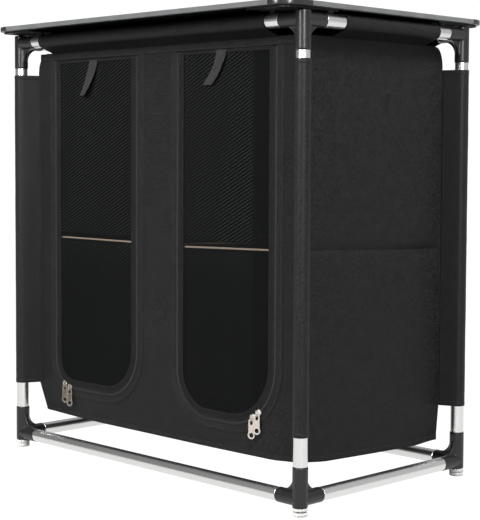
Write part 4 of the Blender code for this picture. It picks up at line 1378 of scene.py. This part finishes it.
def grown(section, by):
    """The section moved outwards by a little, away from the tube."""
    m = len(section)
    cx = sum(p[0] for p in section[4:-4]) / (m - 8)
    cy = sum(p[1] for p in section[4:-4]) / (m - 8)
    out = []
    for i, p in enumerate(section):
        a, b = section[max(0, i - 1)], section[min(m - 1, i + 1)]
        t = Vector((b[0] - a[0], b[1] - a[1])).normalized()
        n = Vector((t.y, -t.x))
        if n.dot(Vector((p[0] - cx, p[1] - cy))) < 0 and 4 <= i < m - 4:
            n = -n
        if i < 4:
            q = Vector((t.y, -t.x))
            if q.dot(Vector((section[4][0] - cx, section[4][1] - cy))) < 0:
                q = -q
            n = q
        if i >= m - 4:
            q = Vector((t.y, -t.x))
            if q.dot(Vector((section[m - 5][0] - cx, section[m - 5][1] - cy))) < 0:
                q = -q
            n = q
        out.append((p[0] + n.x * by, p[1] + n.y * by))
    return out


def sleeve_piece(name, section, place, low, high, key, body="cabinet", slack=0.0, hem=8.0):
    """The sleeve, a doubled hem at each end and the stitching on the hems."""
    fabric = "taut" if "post" in name else "cloth"
    main = make(name, sleeve(name, section, place, low, high, key, slack), [fabric], body, angle=60, solid=(0.8, 0.0), fix=False)
    trim = Shape()
    wide = grown(section, 0.55)
    m = len(wide)
    for edge, inward in ((low, 1), (high, -1)):
        spots = [-0.25, 0.0, 0.6, hem - 0.8, hem - 0.2, hem]
        outs = [0.0, 0.45, 0.62, 0.62, 0.45, 0.0]
        verts, uv = [], []
        for d, o in zip(spots, outs):
            ring_points = grown(section, o)
            for k, (a, b) in enumerate(ring_points):
                verts.append(place(a, b, edge + inward * d))
                uv.append((k * 2.5, d))
        faces = [(i * m + k, i * m + k + 1, (i + 1) * m + k + 1, (i + 1) * m + k) for i in range(len(spots) - 1) for k in range(m - 1)]
        trim.add(verts, faces, 0, uv=uv)
        line = [Vector(place(a, b, edge + inward * (hem - 1.5))) for a, b in grown(section, 0.80)]
        mid = Vector(place(sum(p[0] for p in section[4:-4]) / (m - 8), sum(p[1] for p in section[4:-4]) / (m - 8), edge + inward * (hem - 1.5)))
        points = resample(line, 3.2)
        for a, b in zip(points, points[1:]):
            stitches(trim, [a, b], tuple(((a + b) / 2 - mid).normalized()), 3.0, 2.2, 0.25, 1)
    hems = make(name + "_hems", trim, [fabric, "thread"], body, angle=60, fix=False)
    run = sum(math.dist(p, q) for p, q in zip(section, section[1:]))
    return main, hems


mid_y, mid_x = WY - 0.5, WX - 0.5
# sleeves on the long top rails
for side, sy, reach in (("front", -1, FRONT_SLEEVE), ("back", 1, BACK_SLEEVE)):
    section = sleeve_path((mid_y, Z_BOX_TOP - 1.5), (PY, Z_RAIL_TOP), -1)
    sleeve_piece(
        f"sleeve_rail_{side}", section, lambda a, b, t, sy=sy: (t, sy * a, b - 0.25 * math.cos(t / 60.0)),
        -reach, reach - (4.0 if sy < 0 else 0.0), 5.0 + sy,
    )
# sleeves on the short top rails and on the posts
for side, sx in (("left", -1), ("right", 1)):
    section = sleeve_path((mid_x, Z_BOX_TOP - 1.5), (PX, Z_RAIL_TOP), -1)
    sleeve_piece(f"sleeve_rail_{side}", section, lambda a, b, t, sx=sx: (sx * a, t, b), *SIDE_SLEEVE, 25.0 + sx)
    for end, sy in (("front", -1), ("back", 1)):
        section = sleeve_path((mid_x, WY - 0.4), (PX, PY), -1)
        sleeve_piece(
            f"sleeve_post_{end}_{side}", section, lambda a, b, t, sx=sx, sy=sy: (sx * a, sy * b, t),
            SLEEVE_Z0, SLEEVE_Z1, 61.0 + 5 * sx + 11 * sy,
        )

# floor of the box: cloth drawn round a stiff board
def slab(shape, height, low, high, edge, r=2.0, mat=0, n=26, soft=0.0):
    """A flat slab that follows height(y), with rounded edges and pulled corners."""
    x1, y1 = edge
    section = [(r, low), (r * 0.3, low + r * 0.3), (0, low + r), (0, high - r), (r * 0.3, high - r * 0.3), (r, high)]
    outline = []
    corner = 7.0
    for cx, cy, a in ((x1 - corner, y1 - corner, 0), (-x1 + corner, y1 - corner, 90), (-x1 + corner, -y1 + corner, 180), (x1 - corner, -y1 + corner, 270)):
        outline += [(p, q, b) for (p, q), b in zip(arc((cx, cy), corner, a, a + 90, 5), [a + 18 * i for i in range(6)])]
    rings = []
    verts, uv = [], []
    for d, z in section:
        row = []
        for p, q, a in outline:
            x, y = p - d * math.cos(math.radians(a)), q - d * math.sin(math.radians(a))
            pull = corner_pull(x, y, height(y) + z) if soft else (0, 0, 0)
            row.append(len(verts))
            verts.append((x + pull[0], y + pull[1], height(y) + z + pull[2] * soft))
            uv.append((x + y, z))
        rings.append(row)
    m = len(outline)
    faces = [(a[i], a[(i + 1) % m], b[(i + 1) % m], b[i]) for a, b in zip(rings, rings[1:]) for i in range(m)]
    faces += [tuple(rings[0][::-1]), tuple(rings[-1])]
    return shape.add(verts, faces, mat, uv=uv)


inner_x, inner_y = WX - CLOTH - 0.4, WY - CLOTH - 0.4
s = slab(Shape(), floor_z, 0.0, FLOOR_T, (inner_x, inner_y), 1.6, soft=1.0)
floor_piece = make("cover_floor_cloth", s, ["cloth"], "cabinet", ["cover_floor"], angle=40)

# shelf: a sewn-in cloth that carries two loose boards
s = Shape()
nx, ny = 60, 26
verts, uv = [], []
for j in range(ny + 1):
    y = -inner_y + 2 * inner_y * j / ny
    reach = inner_x - 0.62 * CREASE * (0.15 + 0.85 * ease((WY - abs(y)) / 30.0))
    for i in range(nx + 1):
        x = -reach + 2 * reach * i / nx
        sag = 0.5 * ripple(x, y, 2.0, 90.0) - 0.5
        z = shelf_z(y) + shelf_lean(x) - 0.6 + min(sag, -0.1) * ease((inner_x - abs(x)) / 20.0)
        verts.append((x, y, z))
        uv.append((x, y))
faces = [(j * (nx + 1) + i, j * (nx + 1) + i + 1, (j + 1) * (nx + 1) + i + 1, (j + 1) * (nx + 1) + i) for j in range(ny) for i in range(nx)]
s.add(verts, faces, 0, uv=uv)
shelf_piece = make("shelf_cloth_sheet", s, ["lining"], "cabinet", ["shelf_cloth"], angle=60, solid=(0.7, 0.0), fix=False)

for side, x0, x1 in (("left", -inner_x + 8.5, -1.5), ("right", 1.5, inner_x - 8.5)):
    s = Shape()
    r = 0.25
    y0, y1 = -inner_y + 1.5, inner_y - 2
    low, high = GAP, GAP + BOARD_T
    def top_at(x, y, z):
        return (x, y, shelf_z(y) + shelf_lean(x) + z)
    loops = []
    for d, z in ((r, low), (0, low + r), (0, high - r), (r, high)):
        loops.append([(x0 + d, y0 + d, z), (x1 - d, y0 + d, z), (x1 - d, y1 - d, z), (x0 + d, y1 - d, z)])
    dense = []
    for loop in loops:
        row = []
        for k in range(4):
            a, b = Vector(loop[k]), Vector(loop[(k + 1) % 4])
            row += [tuple(a.lerp(b, q / 12)) for q in range(12)]
        dense.append(row)
    verts = [top_at(*p) for row in dense for p in row]
    m = 48
    faces = [(k * m + i, k * m + (i + 1) % m, (k + 1) * m + (i + 1) % m, (k + 1) * m + i) for k in range(3) for i in range(m)]
    s.add(verts, faces, 1)
    s.add([verts[i] for i in range(m)], [tuple(range(m))[::-1]], 0)
    s.add([verts[3 * m + i] for i in range(m)], [tuple(range(m))], 0)
    make(f"board_shelf_{side}", s, ["laminate", "raw"], "cabinet", [f"shelf_board_{side}"], angle=40, fix=False)

# -------------------------------------------------------------- doors, zips
FRONT_Y = -WY


for door in DOORS:
    middle = DOORS[door][0]
    body = f"door_{door}"
    # the mesh itself, sewn in behind the border, bulging very slightly
    inner = u_path(door, -14.0, top=HINGE_Z - 3.0)
    net_at = lambda x, z: (x, FRONT_Y + 0.75 + 0.55 * ripple(x, z, 5.0 + middle, 120.0) + 0.2 * ripple(x, z, 9.0, 40.0), z)
    s = Shape()
    panel(s, [(inner[0][0], HINGE_Z - 1.2)] + inner[1:-1] + [(inner[-1][0], HINGE_Z - 1.2)], net_at, mat=0, step=12.0)
    net_piece = make(f"net_{door}", s, ["net"], body, [f"door_{door}"], angle=60, fix=False)

    # border of cover cloth, 15 mm wide, with a rolled inner and outer edge
    border = Shape()
    centre = u_path(door, 0.0, top=HINGE_Z - 0.6)
    def border_at(a, b, d):
        lift = {3.6: 0.0, 4.4: 0.55, 16.4: 0.45, 17.4: 0.05}.get(round(d, 1), 0.30 + 0.12 * ripple(a, b, 3.0, 18.0))
        return (a, FRONT_Y - 0.05 - lift, b)
    strip(border, centre, [3.6, 4.4, 7.0, 10.0, 13.0, 16.4, 17.4], border_at, 0)
    border_piece = make(f"door_border_{door}", border, ["border"], body, angle=60, solid=(0.7, 0.0), fix=False)
    # top strip where the door is sewn under the header
    s = Shape()
    x0, x1 = middle - ZIP_HALF + 4.0, middle + ZIP_HALF - 4.0
    rows = [(HINGE_Z - 0.7, 0.2), (HINGE_Z - 2.0, 0.5), (HINGE_Z - 6.0, 0.45), (HINGE_Z - 6.8, 0.0)]
    verts = [(x0 + (x1 - x0) * i / 30, FRONT_Y - 0.15 - o, z) for i in range(31) for z, o in rows]
    faces = [(i * 4 + k, i * 4 + k + 1, (i + 1) * 4 + k + 1, (i + 1) * 4 + k) for i in range(30) for k in range(3)]
    s.add(verts, faces, 0)
    top_piece = make(f"door_top_{door}", s, ["border"], body, angle=60, solid=(0.6, 0.0), fix=False)

    sew = Shape()
    for grow, y, r in ((-6.3, -0.92, 0.30), (-15.2, -0.9, 0.22)):
        stitches(sew, [(a, FRONT_Y + y, b) for a, b in u_path(door, grow, top=HINGE_Z - 2)], (0, -1, 0), 3.1, 2.3, r, 0)
    stitches(sew, [(x0 + (x1 - x0) * i / 60, FRONT_Y - 1.05, HINGE_Z - 4.8) for i in range(61)], (0, -1, 0), 3.1, 2.3, 0.24, 0)
    sweep(sew, [(a, FRONT_Y - 0.55, b) for a, b in u_path(door, -4.3, top=HINGE_Z - 0.6)], ring(0.62, 8), mat=1, up=(0, -1, 0))

    # the half of the zip that opens with the door: tape and coil
    path = u_path(door, 0.0, top=HINGE_Z - 1.0, step=6.0)
    tape = Shape()
    strip(tape, path, [0.7, 2.2, 3.6, 6.0], lambda a, b, d: (a, FRONT_Y + (-0.15 if d < 3 else 0.1), b), 0)
    inner_tape = make(f"zip_tape_inner_{door}", tape, ["tape"], body, angle=60, solid=(0.5, 0.0), fix=False)
    outer = Shape()
    strip(outer, path, [-7.0, -3.6, -1.2, 0.4], lambda a, b, d: (a, FRONT_Y + (-0.15 if d > -3 else 0.75), b), 0)
    outer_tape = make(f"zip_tape_outer_{door}", outer, ["tape"], "cabinet", [f"zip_{door}"], angle=60, solid=(0.5, 0.0), fix=False)

    pitch = 1.55
    fine = resample([(a, b, 0) for a, b in path], pitch)
    halves = (Shape(), Shape())
    for k in range(1, len(fine) - 1):
        t = (fine[k + 1] - fine[k - 1]).normalized()
        n = Vector((-t.y, t.x, 0))          # towards the door
        for which, (near, far) in enumerate(((-0.25, 2.75), (-1.55, 1.15))):
            c = fine[k] + t * (pitch * 0.5 * which)
            lo, hi = near, far
            a0, a1 = c + n * lo, c + n * hi
            w = t * 0.44
            slant = t * 0.35
            def q(p, y):
                return (p.x, FRONT_Y + y, p.y)
            verts = [
                q(a0 - w - slant, -0.35), q(a0 + w - slant, -0.35), q(a1 + w + slant, -0.35), q(a1 - w + slant, -0.35),
                q(a0 - w * 0.55 - slant, -0.95), q(a0 + w * 0.55 - slant, -0.95), q(a1 + w * 0.55 + slant, -0.95), q(a1 - w * 0.55 + slant, -0.95),
                q(a0.lerp(a1, 0.5) - w * 0.6, -1.22), q(a0.lerp(a1, 0.5) + w * 0.6, -1.22),
            ]
            faces = [(0, 1, 5, 4), (2, 3, 7, 6), (1, 2, 6, 9, 5), (3, 0, 4, 8, 7), (4, 5, 9, 8), (6, 7, 8, 9), (3, 2, 1, 0)]
            halves[which].add(verts, faces, 0)
    coil_in = make(f"zip_coil_inner_{door}", halves[0], ["coil"], body, angle=70)
    coil_out = make(f"zip_coil_outer_{door}", halves[1], ["coil"], "cabinet", angle=70)
    # two rows of stitches that hold the tape, over the coil's edges
    line = [(a, FRONT_Y - 0.60, b) for a, b in u_path(door, -2.9, top=HINGE_Z - 2)]
    stitches(sew, line, (0, -1, 0), 2.6, 1.9, 0.22, 0)
    sewn = make(f"door_stitching_{door}", sew, ["thread", "binding"], body, angle=60)
    outer_sew = Shape()
    stitches(outer_sew, [(a, FRONT_Y - 0.55, b) for a, b in u_path(door, 2.4, top=HINGE_Z - 2)], (0, -1, 0), 2.6, 1.9, 0.24, 0)
    make(f"zip_stitching_{door}", outer_sew, ["thread"], "cabinet", angle=60)

# ------------------------------------------------------ sliders, pull tabs
def plate_with_holes(outline, holes, y_back, y_front, bevel=0.22, mat=0):
    """A flat plate in the XZ plane with holes and softened front edges."""
    bm = bmesh.new()
    edges = []
    for loop in (outline, *holes):
        vs = [bm.verts.new((a, 0, b)) for a, b in loop]
        edges += [bm.edges.new((vs[i], vs[(i + 1) % len(vs)])) for i in range(len(vs))]
    bmesh.ops.triangle_fill(bm, use_beauty=True, use_dissolve=False, edges=edges, normal=(0, -1, 0))
    bm.normal_update()
    bmesh.ops.inset_region(bm, faces=bm.faces[:], thickness=bevel, use_boundary=True, use_even_offset=True)
    border = [v for v in bm.verts if any(len(e.link_faces) == 1 for e in v.link_edges)]
    for v in bm.verts:
        v.co.y = y_front + (bevel if v in border else 0.0)
    edges = [e for e in bm.edges if len(e.link_faces) == 1]
    made = bmesh.ops.extrude_edge_only(bm, edges=edges)
    back = [g for g in made["geom"] if isinstance(g, bmesh.types.BMVert)]
    for v in back:
        v.co.y = y_back
    rim = [e for e in bm.edges if len(e.link_faces) == 1]
    bmesh.ops.triangle_fill(bm, use_beauty=True, use_dissolve=False, edges=rim, normal=(0, 1, 0))
    bmesh.ops.recalc_face_normals(bm, faces=bm.faces)
    bm.verts.index_update()
    s = Shape()
    s.add([tuple(v.co) for v in bm.verts], [tuple(v.index for v in f.verts) for f in bm.faces], mat)
    bm.free()
    return s


for name, (door, corner, angle, offset) in SLIDERS.items():
    middle, bottom, rl, rr = DOORS[door]
    r = rl if corner == "L" else rr
    cx = middle - ZIP_HALF + r if corner == "L" else middle + ZIP_HALF - r
    cz = bottom + r
    a = math.radians(angle)
    along = Vector((-math.sin(a), math.cos(a)))
    across = Vector((math.cos(a), math.sin(a)))
    mid = Vector((cx, cz)) + across * r
    front_way = 1 if name.endswith("lower") == (corner == "L") else -1
    # body: a shield-shaped top plate, a rim on its flanks and a raised keel
    half_outline = [(-6.5, 2.2), (-5.6, 3.6), (-3.4, 5.0), (-0.5, 5.2), (3.6, 4.7), (5.6, 4.0), (6.5, 2.6)]
    if front_way < 0:
        half_outline = [(-p, q) for p, q in half_outline[::-1]]
    shield = half_outline + [(p, -q) for p, q in half_outline[::-1]]
    s = plate_with_holes([tuple(mid + along * p + across * q) for p, q in shield], [], FACE, FACE - 2.35, 0.55)
    for flank in (1, -1):
        line = [mid + along * p + across * (flank * (q - 0.55)) for p, q in half_outline[1:-1]]
        sweep(s, [(p.x, FACE - 1.2, p.y) for p in smooth_line(line, 3) and [Vector(w) for w in smooth_line(line, 3)]], ring(0.62, 8, 1.7), mat=1, up=(0, -1, 0))
    keel = [mid - along * 4.6, mid + along * 4.6]
    sweep(s, [(p.x, FACE - 2.2, p.y) for p in resample([(k.x, k.y, 0) for k in keel], 1.0)], ring(1.15, 10, 0.5), mat=0, up=(0, -1, 0), taper=lambda t: 0.35 + 0.65 * math.sin(math.pi * clamp(t, 0.02, 0.98)))
    # bridge that holds the pull tab
    px, pz = mid.x + offset, mid.y + PULL_AXIS
    bridge = smooth_line(
        [(-5.4, -2.0), (-5.6, -4.6), (-4.9, -5.75), (-2.8, -6.0), (0.0, -6.05), (2.4, -5.95), (3.7, -5.4), (4.0, -4.2), (3.8, -2.0)], 4
    )
    sweep(s, [(px, FACE + n, mid.y + z) for z, n in bridge], [(-1.05, -0.38), (-0.7, -0.5), (0.7, -0.5), (1.05, -0.38), (1.05, 0.3), (0.6, 0.5), (-0.6, 0.5), (-1.05, 0.3)], mat=1, up=(1, 0, 0))
    # the left door's slider and pull take the darker copies of the enamel: painted shade
    painted_shade_copy = door == "left"
    casting = ["slider_painted_shade", "rim_painted_shade"] if painted_shade_copy else ["enamel", "pull_rim"]
    make(f"slider_{name}_cast", s, casting, f"slider_{name}", [f"zip_slider_{name}"], angle=40)

    # pull tab: slotted eye, flat shank and a disc with a hole, with raised rims
    disc = arc((0, PULL_END), PULL_DISC, 26, -206, 40)
    left_edge = smooth_line([disc[-1], (-5.5, -22.0), (-5.4, -12.0), (-5.3, -4.0), (-4.4, -0.6), (-2.4, 0.9)], 5)[1:]
    outline = disc + left_edge + [(-p, q) for p, q in left_edge[::-1]]
    eye = [(-2.9, -1.6), (2.9, -1.6)] + arc((0, PULL_EYE + 0.6), 2.9, 0, -180, 12)
    hole = [(PULL_HOLE * math.cos(2 * math.pi * i / 28), PULL_END + PULL_HOLE * math.sin(2 * math.pi * i / 28)) for i in range(28)]
    holes = [[(px + x, pz + z) for x, z in h] for h in (eye, hole)]
    s = plate_with_holes([(px + x, pz + z) for x, z in outline], holes, FACE - 3.4, FACE - 4.2, 0.18)
    for loop, size in ((outline, 0.38), (eye, 0.26), (hole, 0.30)):
        pts = [Vector(p) for p in loop]
        sweep(s, [(px + p.x * 0.985, FACE - 4.22, pz + p.y) for p in pts], ring(size, 8, 0.8), mat=1, closed=True, up=(0, -1, 0))
    turn_c, turn_s = math.cos(math.radians(PULL_TURN)), math.sin(math.radians(PULL_TURN))
    s.v = [
        (px + (x - px) * turn_c - (y - FACE + 3.8) * turn_s, FACE - 3.8 + (x - px) * turn_s + (y - FACE + 3.8) * turn_c, z)
        for x, y, z in s.v
    ]
    make(f"pull_{name}_tab", s, ["pull_painted_shade", "rim_painted_shade"] if painted_shade_copy else ["pull_pale", "pull_rim"], f"pull_{name}", [f"zip_pull_{name}"], angle=40)

# --------------------------------------------------------------- tie straps
STRAPS = {
    # the ribbon's left and right edge at a few heights, with how far each stands off the door
    "left": [
        ((-200.6, 0.5, 792.9), (-176.0, 0.5, 792.7)), ((-202.4, 0.9, 784.0), (-177.6, 1.0, 783.4)),
        ((-206.4, 1.3, 772.0), (-181.8, 1.8, 771.2)), ((-212.2, 1.6, 756.5), (-188.2, 4.2, 755.6)),
        ((-220.2, 1.8, 740.6), (-197.0, 6.6, 739.8)), ((-229.6, 2.0, 724.4), (-207.4, 10.0, 723.6)),
    ],
    "right": [
        ((160.8, 0.5, 795.9), (186.6, 0.5, 795.7)), ((158.8, 0.9, 784.0), (184.4, 1.4, 783.0)),
        ((154.6, 1.4, 769.6), (179.0, 3.6, 768.6)), ((148.0, 1.6, 759.5), (172.8, 3.4, 758.6)),
        ((140.4, 1.8, 749.0), (165.0, 3.2, 748.0)), ((126.4, 2.2, 733.8), (150.6, 3.0, 733.2)),
    ],
}
for door, edges in STRAPS.items():
    near = smooth_line([a for a, _ in edges], 5)
    far = smooth_line([b for _, b in edges], 5)
    s = Shape()
    n = 8
    verts, uv, run, middle_was = [], [], 0.0, None
    for p, q in zip(near, far):
        p = Vector((p[0], FRONT_Y - 0.9 - p[1], p[2]))
        q = Vector((q[0], FRONT_Y - 0.9 - q[1], q[2]))
        middle_now = (p + q) / 2
        run += (middle_now - middle_was).length if middle_was else 0.0
        middle_was = middle_now
        for k in range(n + 1):
            f = 2 * k / n - 1
            c = p.lerp(q, k / n)
            c.y -= 0.6 * (1 - f * f)
            verts.append(tuple(c))
            uv.append((12.5 * f, run))
    m = n + 1
    faces = [(i * m + k, i * m + k + 1, (i + 1) * m + k + 1, (i + 1) * m + k) for i in range(len(near) - 1) for k in range(n)]
    s.add(verts, faces, 0, uv=uv)
    strap = make(f"strap_{door}_ribbon", s, ["webbing"], f"strap_{door}", [f"tie_strap_{door}"], angle=60, solid=(0.7, 0.0), fix=False)
